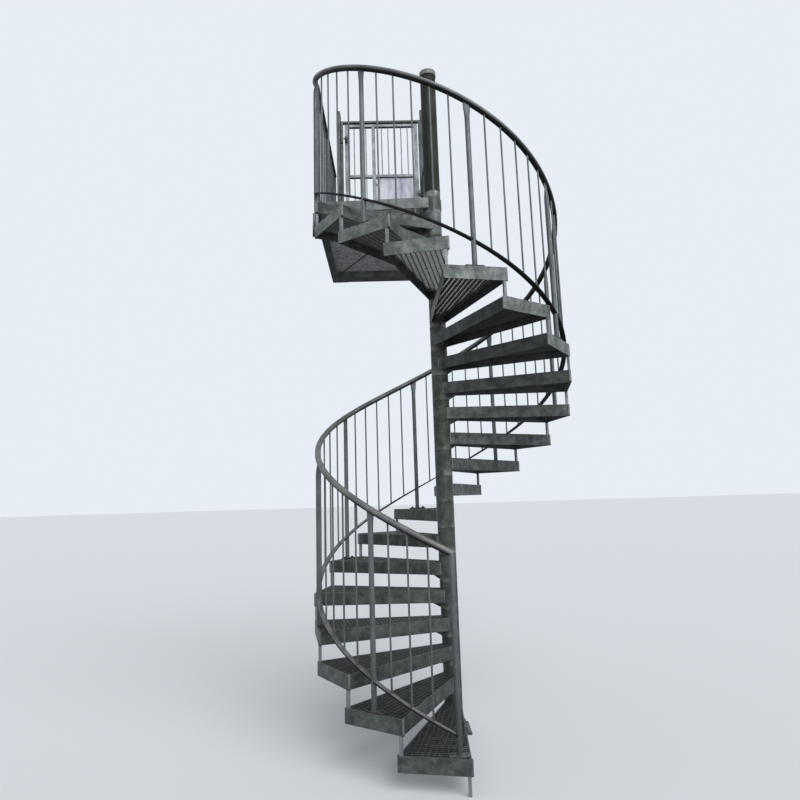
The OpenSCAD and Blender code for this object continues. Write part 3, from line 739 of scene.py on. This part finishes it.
def sweep(ring, height, first, last):
    """Climbs with the ring from one step number to another at a height above the nosing line."""
    settle(ring, rotated(math.pi / 2 - RAIL_SLOPE, "X"))
    settle(ring, rotated(turn(first), "Z") @ moved(RAIL_RADIUS, 0, first * RISER + height))
    climb = ring.modifiers.new("climb", "SCREW")
    climb.angle = -math.radians((last - first) * STEP_ANGLE)
    climb.screw_offset = (last - first) * RISER
    climb.steps = climb.render_steps = max(FEWEST_SECTIONS, round((last - first) * SECTIONS_PER_STEP))
    climb.use_smooth_shade = True
    bpy.ops.object.modifier_apply(modifier=climb.name)
    return ring


print("made: sweeping of a section up the flight")

# %% The climbing tube
clear_selection()
TUBE_SIDES = 24
PAST_END = 0.12
MITRE_REACH = 0.2
climbing = sweep(section_ring(TUBE_SIDES, (RAIL_R, RAIL_R)), RAIL_HEIGHT, NEWEL_STEP - PAST_END,
                 RAIL_END_STEP + PAST_END)
foot_mitre = rail_place(NEWEL_STEP, NEWEL_STEP * RISER + RAIL_HEIGHT)
foot_tilt = (math.pi / 2 - RAIL_SLOPE) / 2 + RAIL_SLOPE
foot_normal = foot_mitre.to_3x3() @ Vector((0, math.cos(foot_tilt), -math.sin(foot_tilt)))
cut(climbing, foot_mitre.to_translation(), foot_normal, fill=False, near=MITRE_REACH)
head = rail_place(RAIL_END_STEP, RAIL_END_STEP * RISER + RAIL_HEIGHT).to_translation()
head_normal = Vector((0, math.cos(RAIL_SLOPE / 2), math.sin(RAIL_SLOPE / 2)))
cut(climbing, head, head_normal, fill=False, near=MITRE_REACH)
print("climbing tube of", len(climbing.data.polygons), "faces")

# %% The level tube
level_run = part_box("handrail")[1].y - head.y
bpy.ops.mesh.primitive_cylinder_add(vertices=TUBE_SIDES, radius=RAIL_R, depth=2 * level_run,
                                    end_fill_type="NOTHING", rotation=(0, 0, math.pi / TUBE_SIDES))
level = settle(bpy.context.object)
lean = math.atan(GUARD_LEAN / level_run)
settle(level, moved(*head) @ rotated(-lean, "Z") @ rotated(math.pi / 2, "X"))
cut(level, head, -head_normal, fill=False)
handrail = join([climbing, level], "smooth_handrail")
fill_ends(handrail)
smooth(handrail)
dress(handrail, handrail_zinc)
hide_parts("handrail")

# %% [markdown]
# ## The bottom rail
# A flat bar runs from post to post. On the real stair each bay is rolled to the curve and welded
# between two posts, on every second tread. It could be one long sweep, but the bays are alike, so
# one is swept here and copied up the flight. The first and the last bay have their own length.


# %% Copies of a piece
def copies(piece, places):
    """One copy of a settled piece at each place, each with its own mesh."""
    made = []
    for place in places:
        pick(piece)
        bpy.ops.object.duplicate()
        made.append(settle(bpy.context.object, place))
    bpy.data.objects.remove(piece)
    return made


print("made: copying of a piece to its places")

# %% One bay
BOTTOM_RAIL_HEIGHT = 0.075
BOTTOM_RAIL_W = 0.034
BOTTOM_RAIL_T = 0.010
POST_EVERY = 2
POST_STEP = HALF_ANGLE / STEP_ANGLE
POST_R = 0.01685
RAIL_IN_POST = 0.010
post_gap = math.degrees((POST_R - RAIL_IN_POST) / RAIL_RADIUS) / STEP_ANGLE


def rail_bay(first, last):
    """The flat bar of one bay, from one step number to another."""
    bay = sweep(section_ring(4, (BOTTOM_RAIL_W, BOTTOM_RAIL_T)), BOTTOM_RAIL_HEIGHT, first, last)
    fill_ends(bay)
    smooth(bay)
    return bay


print("a bay stops", round(post_gap, 4), "of a step before the middle of its post")

# %% All bays
GUARD_GAP = 0.020
guard_y = RAIL_RADIUS * math.sin(turn(RAIL_END_STEP))
end_angle = math.asin((guard_y + GUARD_GAP / 2 - SEAT) / RAIL_RADIUS)
bays = [rail_bay(NEWEL_STEP + post_gap, POST_EVERY + POST_STEP - post_gap),
        rail_bay(TREADS + POST_STEP + post_gap, LANDING_STEP + math.degrees(end_angle) / STEP_ANGLE)]
whole_bay = rail_bay(POST_EVERY + POST_STEP + post_gap, 2 * POST_EVERY + POST_STEP - post_gap)
bays += copies(whole_bay, [moved(0, 0, k * RISER) @ rotated(turn(k) - turn(0), "Z")
                           for k in range(0, TREADS - POST_EVERY, POST_EVERY)])
bottom_rail = join(bays, "smooth_bottom_rail")
dress(bottom_rail, flat_rail_zinc)
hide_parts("bottom_rail")

# %% [markdown]
# ## Bolts and weld beads
# A bolt here is a hexagon head on a washer, and a weld bead is a squashed ring with an uneven
# surface. A bump in the finish would be cheaper, but it leaves no edge to catch the light. So
# both are made once, of few faces, in their own frame, and copied to every place.


# %% Blocks and rods
def round_edges(piece, width):
    """Rounds the piece's sharp edges with a modifier that is applied."""
    pick(piece)
    rounding = piece.modifiers.new("rounding", "BEVEL")
    rounding.width = width
    rounding.segments = 2
    rounding.limit_method = "ANGLE"
    rounding.angle_limit = math.radians(40)
    bpy.ops.object.modifier_apply(modifier=rounding.name)
    smooth(piece)


def block(size, place, rounding=0.0):
    """A box of a size at a place, with rounded edges if asked for."""
    bpy.ops.mesh.primitive_cube_add(size=1, location=place, scale=size)
    piece = settle(bpy.context.object)
    if rounding:
        round_edges(piece, rounding)
    return piece


def rod(radius, length, place, turned=(0, 0, 0), sides=24, rounding=0.0):
    """A round bar with its middle at a place, upright unless it is turned."""
    bpy.ops.mesh.primitive_cylinder_add(vertices=sides, radius=radius, depth=length, location=place,
                                        rotation=turned)
    piece = settle(bpy.context.object)
    if rounding:
        round_edges(piece, rounding)
    return piece


print("made: blocks and rods")

# %% Bolt and bead
WASHER_T = 0.002
WASHER_SHARE = 0.62
HEXAGON_SHARE = 0.577
BEAD_WEAR = 0.2
BEAD_SQUASH = 0.8


def bolt(width, height):
    """A hexagon bolt head on its washer, standing on height 0. The width is across its flats."""
    washer = rod(width * WASHER_SHARE, WASHER_T, (0, 0, WASHER_T / 2), sides=20, rounding=0.0004)
    head = rod(width * HEXAGON_SHARE, height, (0, 0, WASHER_T + height / 2), sides=6, rounding=0.0012)
    return join([washer, head], "bolt")


def weld_bead(radius, thickness):
    """An uneven bead round a tube that stands on height 0."""
    bpy.ops.mesh.primitive_torus_add(major_radius=radius, minor_radius=thickness, major_segments=36,
                                     minor_segments=6)
    bead = settle(bpy.context.object)
    edit_all(bead)
    bpy.ops.transform.vertex_random(offset=thickness * BEAD_WEAR, seed=3)
    bpy.ops.transform.resize(value=(1, 1, BEAD_SQUASH))
    bpy.ops.object.mode_set(mode="OBJECT")
    bpy.ops.object.shade_smooth()
    return bead


print("made: bolt and weld bead")

# %% [markdown]
# ## Posts with flattened heads
# Each post is a tube whose head is pressed flat so that it meets the underside of the handrail
# along its length. The solids have plain round tubes. A lattice could squeeze the head, but it is
# hard to control in so short a stretch. So rings are cut round the head, each is squeezed a
# little more than the one below, and the head is cut off along the slope.

# %% Flatten a head
FLAT_LENGTH = 0.095
FLAT_WIDTH = 1.55
FLAT_THICKNESS = 0.30
FLAT_RINGS = 6
ON_RING = 0.0005


def ring_cuts(piece, heights):
    """Cuts a ring of points round the piece at each height, and leaves it open in edit mode."""
    edit_all(piece)
    for height in heights:
        bpy.ops.mesh.select_all(action="SELECT")
        bpy.ops.mesh.bisect(plane_co=(0, 0, height), plane_no=(0, 0, 1))


def squeeze_head(tube, top):
    """Presses the head of a tube flat, ring by ring. The shape eases in and out."""
    heights = [top - FLAT_LENGTH * (1 - k / FLAT_RINGS) for k in range(FLAT_RINGS + 1)]
    ring_cuts(tube, heights)
    bpy.ops.object.mode_set(mode="OBJECT")
    for k, height in enumerate(heights + [max(point.co.z for point in tube.data.vertices)]):
        share = min(1.0, k / FLAT_RINGS)
        eased = share * share * (3 - 2 * share)
        edit_part(tube, "VERT", lambda point: abs(point.co.z - height) < ON_RING)
        size = (1 + (FLAT_THICKNESS - 1) * eased, 1 + (FLAT_WIDTH - 1) * eased, 1)
        bpy.ops.transform.resize(value=size, center_override=(0, 0, height))
        bpy.ops.object.mode_set(mode="OBJECT")


print("made: flattening of a head in", FLAT_RINGS, "rings")

# %% One post
clear_selection()
SOLID_RAIL_SIDES = 16
SPARE = 0.05
FLAT_BELOW_TOP = 0.01
TOP_ALLOWANCE = 0.001
under_rail = RAIL_R * math.cos(math.pi / SOLID_RAIL_SIDES)
post_top = POST_STEP * RISER + RAIL_HEIGHT - under_rail / math.cos(RAIL_SLOPE)
tube = rod(POST_R, post_top + SPARE, (0, 0, (post_top + SPARE) / 2))
squeeze_head(tube, post_top - FLAT_BELOW_TOP)
cut(tube, (0, 0, post_top + TOP_ALLOWANCE), (0, math.sin(RAIL_SLOPE), math.cos(RAIL_SLOPE)))
smooth(tube, 40)
print("post of", round(post_top, 3), "m")

# %% [markdown]
# ## Feet of the posts
# A post stands on a plate with two bolts, along the outer edge of its tread. The plate's ends
# are round, so the four upright edges of a block are bevelled in edit mode. Two half discs and a
# block would give nearly the same outline, but they would leave seams in the top.

# %% A foot plate
FOOT_W = 0.056
FOOT_T = 0.008
FOOT_ROUND = 0.42
BOLT_FROM_END = 0.022
BOLT_SHAPE = 0.44


def is_upright(piece, edge):
    """Whether an edge of a foot plate stands upright."""
    low, high = (piece.data.vertices[index].co.z for index in edge.vertices)
    return abs(low - high) > FOOT_T / 2


def foot_plate(length, bolt_width):
    """A foot plate with rounded ends, a rounded top edge and two bolts."""
    middle = RAIL_INSET - FOOT_W / 2
    plate = block((FOOT_W, length, FOOT_T), (middle, 0, FOOT_T / 2))
    edit_part(plate, "EDGE", lambda edge: is_upright(plate, edge))
    bpy.ops.mesh.bevel(offset=FOOT_W * FOOT_ROUND, segments=6, affect="EDGES")
    bpy.ops.object.mode_set(mode="OBJECT")
    round_edges(plate, 0.0012)
    bolt_places = [moved(middle, side * (length / 2 - BOLT_FROM_END), FOOT_T) for side in (-1, 1)]
    return join([plate] + copies(bolt(bolt_width, BOLT_SHAPE * bolt_width), bolt_places), "foot")


print("made: foot plate")

# %% Set the posts
FOOT_LENGTH = 0.140
FOOT_BOLT = 0.017
FILLET = 0.0035
bead = settle(weld_bead(POST_R, FILLET), moved(0, 0, FOOT_T))
post = join([tube, bead], "post")
post_places = [rail_place(n + POST_STEP, n * RISER) for n in range(POST_EVERY, TREADS + 1, POST_EVERY)]
posts = join(copies(post, post_places), "guard_posts_flattened")
dress(posts, post_zinc)
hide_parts("guard_posts")
feet = join(copies(foot_plate(FOOT_LENGTH, FOOT_BOLT), post_places), "post_feet")
dress(feet, foot_zinc)

# %% [markdown]
# ## Foot of the start newel
# The first upright is a thicker tube that turns over into the handrail. It stands on a shorter
# plate at the front corner of the first tread, with smaller bolts. The function for the post
# feet makes it too, with its own length.

# %% Newel foot
clear_selection()
NEWEL_FOOT_LENGTH = 0.122
NEWEL_BOLT = 0.013
NEWEL_LIFT = 0.0004
newel_foot = settle(foot_plate(NEWEL_FOOT_LENGTH, NEWEL_BOLT), moved(0, 0, NEWEL_LIFT))
newel_bead = settle(weld_bead(POST_R, FILLET), moved(0, 0, FOOT_T))
newel_parts = settle(join([newel_foot, newel_bead], "newel_foot"), rail_place(NEWEL_STEP, RISER))
dress(newel_parts, plate_zinc)

# %% [markdown]
# ## Joints of the column
# Every tread is welded to its own length of sleeve, and the sleeves are threaded on the pole. Dirt
# settles in each joint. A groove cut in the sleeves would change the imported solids, so a thin
# squashed ring, a hair proud of the sleeves, draws that dark line.

# %% Dirt in the sleeve joints
clear_selection()
LINE_SINK = 0.0006
LINE_T = 0.0022
line = weld_bead(SLEEVE_R - LINE_SINK, LINE_T)
joints = copies(line, [moved(0, 0, n * RISER + SLEEVE_RISE) for n in range(0, LANDING_STEP + 1)])
dress(join(joints, "sleeve_joints"), dirt_and_shade_line)

# %% [markdown]
# ## Welds where the trays meet the column
# The side plates of each tread and its gusset are welded to the sleeve with upright beads. Real
# beads are a row of small scales. At this size their uneven outline is enough, so one bead is an
# eight-sided rod, cut into rings and shaken a little. Three of them stand at every tread.

# %% An upright bead
BEAD_RINGS = 8


def upright_bead(length, thickness, seed, sides=8, wear=0.25):
    """An upright rod with an uneven surface."""
    bead = rod(thickness, length, (0, 0, 0), sides=sides)
    ring_cuts(bead, [length * (k / BEAD_RINGS - 0.5) for k in range(1, BEAD_RINGS)])
    bpy.ops.mesh.select_all(action="SELECT")
    bpy.ops.transform.vertex_random(offset=thickness * wear, seed=seed)
    bpy.ops.object.mode_set(mode="OBJECT")
    bpy.ops.object.shade_smooth()
    return bead


print("made: upright bead of", BEAD_RINGS, "rings")

# %% Beads at the hub
SIDE_BEAD_SHARE = 0.94
SIDE_BEAD_OUT = 0.002
GUSSET_BEAD_LENGTH = 0.034
GUSSET_BEAD_BELOW = 0.019
GUSSET_BEAD_OUT = 0.0005
WELD_SINK = 0.0002
side_slope = math.radians(SIDE_ANGLE)
hub_reach = math.sqrt((SLEEVE_R - WELD_SINK) ** 2 - HUB_OFFSET ** 2)
meet_x = hub_reach * math.cos(side_slope) - HUB_OFFSET * math.sin(side_slope)
meet_y = hub_reach * math.sin(side_slope) + HUB_OFFSET * math.cos(side_slope)
beads = []
for side in (-1, 1):
    side_bead = upright_bead(PLATE_HEIGHT * SIDE_BEAD_SHARE, FILLET, 5 + side)
    beads.append(settle(side_bead, moved(meet_x + SIDE_BEAD_OUT, side * (meet_y + SIDE_BEAD_OUT),
                                         -PLATE_HEIGHT / 2)))
gusset_bead = upright_bead(GUSSET_BEAD_LENGTH, FILLET, 9)
beads.append(settle(gusset_bead, moved(SLEEVE_R + GUSSET_BEAD_OUT, 0, -PLATE_HEIGHT - GUSSET_BEAD_BELOW)))
hub_welds = join(copies(join(beads, "hub_weld"), tread_places), "hub_welds")
dress(hub_welds, pale_weld_and_highlight_zinc)

# %% [markdown]
# ## Corners of the trays
# The outer plate and the side plates of a tray meet in an upright weld that is ground round. It
# catches the light as a pale strip. A bevel on the imported tray would round the corner but keep
# the plate's colour, so a rod with a softly uneven surface stands in each corner, and its paler
# zinc paints that highlight.

# %% Corner welds
CORNER_WELD_R = 0.009
SHORTER_THAN_PLATE = 0.001
weld_radius = CORNER_RADIUS - CORNER_WELD_R - SEAT
corner = upright_bead(PLATE_HEIGHT - SHORTER_THAN_PLATE, CORNER_WELD_R, 4, sides=20, wear=0.04)
corner_places = [moved(weld_radius * math.cos(angle), weld_radius * math.sin(angle), -PLATE_HEIGHT / 2)
                 for angle in (math.radians(-HALF_ANGLE), math.radians(HALF_ANGLE))]
corners = join(copies(corner, corner_places), "corner_welds")
# The paler weld zinc here is a painted highlight on the rounded corners.
dress(join(copies(corners, tread_places), "corner_welds"), pale_weld_and_highlight_zinc)

# %% [markdown]
# ## Fine cross bars of the gratings
# A pressed grating has deep bearing bars and, square to them, thin bars pressed in flush with the
# top. The solids hold the bearing bars and every fourth cross bar. The three between them are
# modelled here, because a picture of a mesh would not let the light through. One thin bar is
# repeated with two Array modifiers and cut with Bisect along the two side plates of the tread.

# %% Rows of thin bars
HEAVY_PITCH = 0.111
THIN_PER_BAY = 3
CROSS_PITCH = HEAVY_PITCH / (THIN_PER_BAY + 1)
CROSS_T = 0.0022
CROSS_DEPTH = 0.009
HEAVY_MIDDLE = 0.0015
TOP_GAP = 0.0004


def bar_row(length, bays, first, way):
    """Thin bars along Y, in bays between the heavy bars, side by side toward +X or -X."""
    bars = block((CROSS_T, length, CROSS_DEPTH),
                 (first[0] + way * CROSS_PITCH, first[1], first[2] - CROSS_DEPTH / 2 - TOP_GAP))
    for name, count, pitch in (("bay", THIN_PER_BAY, CROSS_PITCH), ("bays", bays, HEAVY_PITCH)):
        row = bars.modifiers.new(name, "ARRAY")
        row.count = count
        row.use_relative_offset = False
        row.use_constant_offset = True
        row.constant_offset_displace = (way * pitch, 0, 0)
        bpy.ops.object.modifier_apply(modifier=row.name)
    return bars


print("thin bars", round(CROSS_PITCH * 1000, 2), "mm apart")

# %% Bars of the treads
clear_selection()
HUB_CLEARANCE = 0.003
TREADS_PER_GRATING = 5
outer_u = TRAY_U - PLATE_T - SEAT + HEAVY_MIDDLE
side_w = TRAY_W - PLATE_T / math.cos(side_slope)
tread_bars = bar_row(2 * TRAY_W, math.ceil((outer_u - SLEEVE_R) / HEAVY_PITCH), (outer_u, 0, 0), -1)
cut(tread_bars, (SLEEVE_R + HUB_CLEARANCE, 0, 0), (-1, 0, 0))
for side in (-1, 1):
    cut(tread_bars, (TRAY_U, side * side_w, 0), (-math.sin(side_slope), side * math.cos(side_slope), 0))
sets = copies(tread_bars, tread_places)
for k, group in enumerate(("low", "left", "right", "high")):
    five = sets[k * TREADS_PER_GRATING:(k + 1) * TREADS_PER_GRATING]
    dress(join(five, "fine_bars_" + group), grating_zinc)

# %% [markdown]
# ## Fine cross bars of the landing
# The landing's two panels have the same mesh. Its thin bars run toward the wall, and those in the
# bay beside the column are shorter. The same row of bars serves, made twice: once long, with its
# front ends cut along the slanting front plate, and once short.

# %% Bars of the landing
LANDING_PLATE_T = 0.008
FRONT_EDGE = 0.075
FRONT_SPARE = 0.3
FRONT_SHIFT = 1.2
landing_low, landing_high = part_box("landing_frame")
back_edge = landing_high.y - LANDING_PLATE_T
first_x = landing_low.x + HEAVY_MIDDLE
long_bays = int((-SLEEVE_R - first_x) / HEAVY_PITCH)
long_bars = bar_row(back_edge + FRONT_SPARE, long_bays,
                    (first_x, (back_edge - FRONT_SPARE) / 2, LANDING_Z), 1)
short_bars = bar_row(back_edge - FRONT_EDGE, 1,
                     (first_x + long_bays * HEAVY_PITCH, (back_edge + FRONT_EDGE) / 2, LANDING_Z), 1)
front_slant = math.radians(HALF_ANGLE - SIDE_ANGLE)
cut(long_bars, (-CORNER_RADIUS, LANDING_PLATE_T * FRONT_SHIFT, 0),
    (-math.sin(front_slant), -math.cos(front_slant), 0))
dress(join([short_bars, long_bars], "fine_bars_landing"), mesh_zinc)

# %% [markdown]
# ## Anchors at the foot and at the wall
# Four threaded anchors with nuts hold the base plate. Two at each end hold the landing's back
# plate to the wall, and their heads are on the inside, where a spanner reaches them. The bolt
# from the post feet serves for both, with a stud added at the foot.

# %% Anchors at the foot
clear_selection()
ANCHOR_SPACING = 0.160
BASE_T = 0.015
STUD_R = 0.008
STUD_LENGTH = 0.030
STUD_MIDDLE = 0.012
stud = rod(STUD_R, STUD_LENGTH, (0, 0, STUD_MIDDLE), sides=16, rounding=0.0012)
anchor = join([bolt(width=0.024, height=0.013), stud], "anchor")
anchors = copies(anchor, [moved(x * ANCHOR_SPACING / 2, y * ANCHOR_SPACING / 2, BASE_T)
                          for x in (-1, 1) for y in (-1, 1)])
dress(join(anchors, "base_anchors"), plate_zinc)

# %% Anchors at the wall
WALL_PLATE_LENGTH = 0.160
WALL_ANCHOR_OUT = 0.05
plate_low, plate_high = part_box("wall_plates")
wall_z = (plate_low.z + plate_high.z) / 2
plate_middles = (plate_low.x + WALL_PLATE_LENGTH / 2, plate_high.x - WALL_PLATE_LENGTH / 2)
anchors = copies(bolt(width=0.019, height=0.009), [
    moved(x + side * WALL_ANCHOR_OUT, back_edge, wall_z) @ rotated(math.pi / 2, "X")
    for x in plate_middles for side in (-1, 1)])
dress(join(anchors, "wall_anchors"), plate_zinc)

# %% [markdown]
# ## Seam of the latch post
# The latch post and the jamb beside it stand against each other, and the seam between them lies in
# shade. The solids touch there without a groove, so a thin dark strip down the front and the back
# of the seam paints that shade as a dark line.

# %% Painted shade in the seam
SEAM_X = -0.8502
SEAM_W = 0.007
SEAM_T = 0.0012
SEAM_PROUD = 0.0002
SEAM_FOOT = 0.01
SEAM_HEAD = 0.04
frame_low, frame_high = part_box("gate_frame")
seam_low = LANDING_Z + SEAM_FOOT
seam_high = frame_high.z - SEAM_HEAD
strip = block((SEAM_W, SEAM_T, seam_high - seam_low), (SEAM_X, 0, (seam_high + seam_low) / 2), 0.0004)
seams = copies(strip, [moved(0, frame_low.y - SEAM_PROUD, 0), moved(0, frame_high.y + SEAM_PROUD, 0)])
# Painted shade: the dark strips stand for the shaded gap between post and jamb.
dress(join(seams, "latch_post_seam"), dirt_and_shade_line)

# %% [markdown]
# ## The gate's latch
# A black case with rounded edges sits on the leaf, with a round knob, a lock ring and four small
# screws, and its tongue points at the keeper. The solids hold two plain blocks in its place.
# They can't be rounded without a new pack, so this latch replaces them and moves with the gate.

# %% Case of the latch
clear_selection()
CASE_T = 0.024
CASE_ROUND = 0.004
TONGUE = (0.013, 0.008, 0.011)
TONGUE_OUT = 0.0055
TONGUE_UP = 0.0135
latch_low, latch_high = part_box("gate_latch")
leaf_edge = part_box("gate_leaf")[0].x
case_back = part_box("latch_keeper")[1].y
case_front = case_back - CASE_T
case_w = latch_high.x - leaf_edge
case_h = latch_high.z - latch_low.z
case_x = leaf_edge + case_w / 2
case_z = (latch_low.z + latch_high.z) / 2
case = block((case_w, CASE_T, case_h), (case_x, case_back - CASE_T / 2, case_z), CASE_ROUND)
tongue = block(TONGUE, (leaf_edge - TONGUE_OUT, case_back - CASE_T / 2, case_z + TONGUE_UP), 0.001)
print("latch case", round(case_w * 1000), "by", round(case_h * 1000), "mm")

# %% Knob, ring and screws
KNOB_R = 0.008
KNOB_T = 0.012
KNOB_SHIFT = 0.003
KNOB_OUT = 0.0165
NECK_R = 0.006
NECK_LENGTH = 0.012
RING_R = 0.0065
RING_T = 0.0012
RING_BELOW = 0.020
RING_PROUD = 0.0004
SCREW_R = 0.0025
SCREW_T = 0.0014
SCREW_INSET = 0.006
SCREW_PROUD = 0.0005
lying = (math.pi / 2, 0, 0)
knob_x = case_x + KNOB_SHIFT
neck = rod(NECK_R, NECK_LENGTH, (knob_x, case_front - NECK_LENGTH / 2, case_z), lying)
knob = rod(KNOB_R, KNOB_T, (knob_x, case_front - KNOB_OUT, case_z), lying, rounding=0.003)
ring_place = moved(case_x, case_front - RING_PROUD, case_z - RING_BELOW) @ rotated(math.pi / 2, "X")
ring = settle(weld_bead(RING_R, RING_T), ring_place)
screw_x = case_w / 2 - SCREW_INSET
screw_z = case_h / 2 - SCREW_INSET
screws = copies(rod(SCREW_R, SCREW_T, (0, 0, 0), lying, sides=12, rounding=0.0005), [
    moved(case_x + x * screw_x, case_front - SCREW_PROUD, case_z + z * screw_z)
    for x in (-1, 1) for z in (-1, 1)])
latch = join([case, neck, knob, ring, tongue] + screws, "latch")
dress(latch, black_fittings, "gate")
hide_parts("gate_latch")

# %% [markdown]
# ## Clips round the sheet
# The sheet in the gate is held by short angle tabs with a rivet each, four on either side. One
# tab on each side is built of two thin blocks and a rivet and then copied up the edge. A Mirror
# modifier could make the other side, but the two edges aren't on one axis.

# %% Sheet clips
CLIP_REACH = 0.018
CLIP_T = 0.002
CLIP_HEIGHT = 0.024
CLIP_OFF = 0.0002
LIP_DEPTH = 0.012
RIVET_R = 0.003
RIVET_T = 0.0022
RIVET_X = 0.011
RIVET_Y = 0.003
CLIP_ROUND = 0.0006
CLIP_SHARES = (0.08, 0.36, 0.64, 0.92)
sheet_low, sheet_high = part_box("gate_sheet")
clip_heights = [moved(0, 0, sheet_low.z + (sheet_high.z - sheet_low.z) * share) for share in CLIP_SHARES]
clips = []
for side, x in ((1, sheet_low.x), (-1, sheet_high.x)):
    tab = block((CLIP_REACH, CLIP_T, CLIP_HEIGHT),
                (x + side * CLIP_REACH / 2, sheet_low.y - CLIP_T / 2 - CLIP_OFF, 0), CLIP_ROUND)
    lip = block((CLIP_T, LIP_DEPTH, CLIP_HEIGHT),
                (x + side * CLIP_T / 2, sheet_low.y - LIP_DEPTH / 2 - CLIP_OFF, 0), CLIP_ROUND)
    rivet = rod(RIVET_R, RIVET_T, (x + side * RIVET_X, sheet_low.y - RIVET_Y, 0), lying, sides=12,
                rounding=0.0008)
    clips += copies(join([tab, lip, rivet], "clip"), clip_heights)
dress(join(clips, "sheet_clips"), gate_zinc, "gate")

# %% [markdown]
# ## The floor and what the camera sees
# The floor is pale and plain, so that the stair stands out. A pale floor would also throw much
# light up at the treads, which a dark yard doesn't. So the floor has two sides: the camera sees
# the pale one, and scattered light meets the dark one. The Light Path node tells them apart. The
# same choice serves for the sky.


# %% Two sides of one surface
def seen_rays(tree):
    """1 for what the camera sees straight, in a reflection or through glass, and 0 for scattered light."""
    path = tree.nodes.new("ShaderNodeLightPath")
    rays = path.outputs["Is Camera Ray"]
    for kind in ("Is Glossy Ray", "Is Transmission Ray"):
        rays = reckon(tree, "ADD", rays, path.outputs[kind])
        rays.node.use_clamp = True
    return rays


def show(tree, hidden, shown, output):
    """Mixes two shaders, so that the camera sees one and the other sends out the scattered light."""
    choose = tree.nodes.new("ShaderNodeMixShader")
    tree.links.new(seen_rays(tree), choose.inputs["Fac"])
    tree.links.new(hidden, choose.inputs[1])
    tree.links.new(shown, choose.inputs[2])
    tree.links.new(choose.outputs["Shader"], tree.nodes[output].inputs["Surface"])


print("made: a choice between what is seen and what is lit")

# %% Floor
clear_selection()
PALE_FLOOR = (0.80, 0.83, 0.87, 1)
DARK_YARD = (0.22, 0.22, 0.21, 1)
bpy.ops.mesh.primitive_plane_add(size=400, location=(0, 0, 0))
floor = bpy.context.object
floor.name = "floor"
paper = bpy.data.materials.new("pale_floor")
paper.use_nodes = True
paper_tree = paper.node_tree
pale_side = paper_tree.nodes["Principled BSDF"]
pale_side.inputs["Base Color"].default_value = PALE_FLOOR
pale_side.inputs["Roughness"].default_value = 0.9
yard = new_node(paper_tree, "ShaderNodeBsdfDiffuse", Color=DARK_YARD)
show(paper_tree, yard.outputs["BSDF"], pale_side.outputs["BSDF"], "Material Output")
floor.data.materials.append(paper)
print("floor at height", round(floor.location.z, 3))

# %% [markdown]
# ## Light
# The picture was taken under a bright, even sky. A large area lamp could stand for it, but it
# would light the near treads more than the far ones. A sun of great width is as soft and lights
# all alike. It stands to the right and in front, and the world fills the shade.

# %% Sky and sun
SKY_LIGHT = (0.95, 0.97, 1.0, 1)
SKY_STRENGTH = 0.42
SKY_SEEN = (0.80, 0.85, 0.91, 1)
SUN_WIDTH = 60
SUN_STRENGTH = 2.1
sky = bpy.data.worlds.new("sky")
bpy.context.scene.world = sky
sky.use_nodes = True
sky_tree = sky.node_tree
soft = sky_tree.nodes["Background"]
soft.inputs["Color"].default_value = SKY_LIGHT
soft.inputs["Strength"].default_value = SKY_STRENGTH
seen = new_node(sky_tree, "ShaderNodeBackground", Color=SKY_SEEN, Strength=1.0)
show(sky_tree, soft.outputs["Background"], seen.outputs["Background"], "World Output")

bpy.ops.object.light_add(type="SUN", location=(3, -6, 8))
overcast = bpy.context.object
overcast.name = "overcast"
overcast.data.angle = math.radians(SUN_WIDTH)
overcast.data.energy = SUN_STRENGTH
overcast.rotation_euler = (Vector((0, 0, 2.5)) - overcast.location).to_track_quat("-Z", "Y").to_euler()
print("sun of strength", SUN_STRENGTH, "and", SUN_WIDTH, "degrees, sky of", SKY_STRENGTH)

# %% [markdown]
# ## Camera
# The camera stands where the photograph was taken from, low and close, so the upper turns are
# seen from below. It could be moved by eye, but its place, its turns and its lens were solved
# from points of the stair whose places are known. The lens is given by how many picture points it
# is long.

# %% Camera
CAMERA_PLACE = (-0.4045, -4.5058, 1.5952)
YAW = math.radians(1.159)
PITCH = math.radians(9.542)
ROLL = math.radians(-1.736)
LENS_POINTS = 596.89
PICTURE_POINTS = 800
SENSOR = 36
camera_data = bpy.data.cameras.new("photograph")
camera = bpy.data.objects.new("photograph", camera_data)
bpy.context.scene.collection.objects.link(camera)
camera_data.sensor_width = SENSOR
camera_data.lens = LENS_POINTS / PICTURE_POINTS * SENSOR
camera_data.clip_end = 200
camera.matrix_world = (moved(*CAMERA_PLACE) @ rotated(-YAW, "Z") @ rotated(math.radians(90) + PITCH, "X")
                       @ rotated(ROLL, "Z"))
bpy.context.scene.camera = camera
bpy.context.scene.view_settings.view_transform = "Standard"
print("camera", round(CAMERA_PLACE[2], 2), "m above the ground, lens", round(camera_data.lens, 1), "mm")
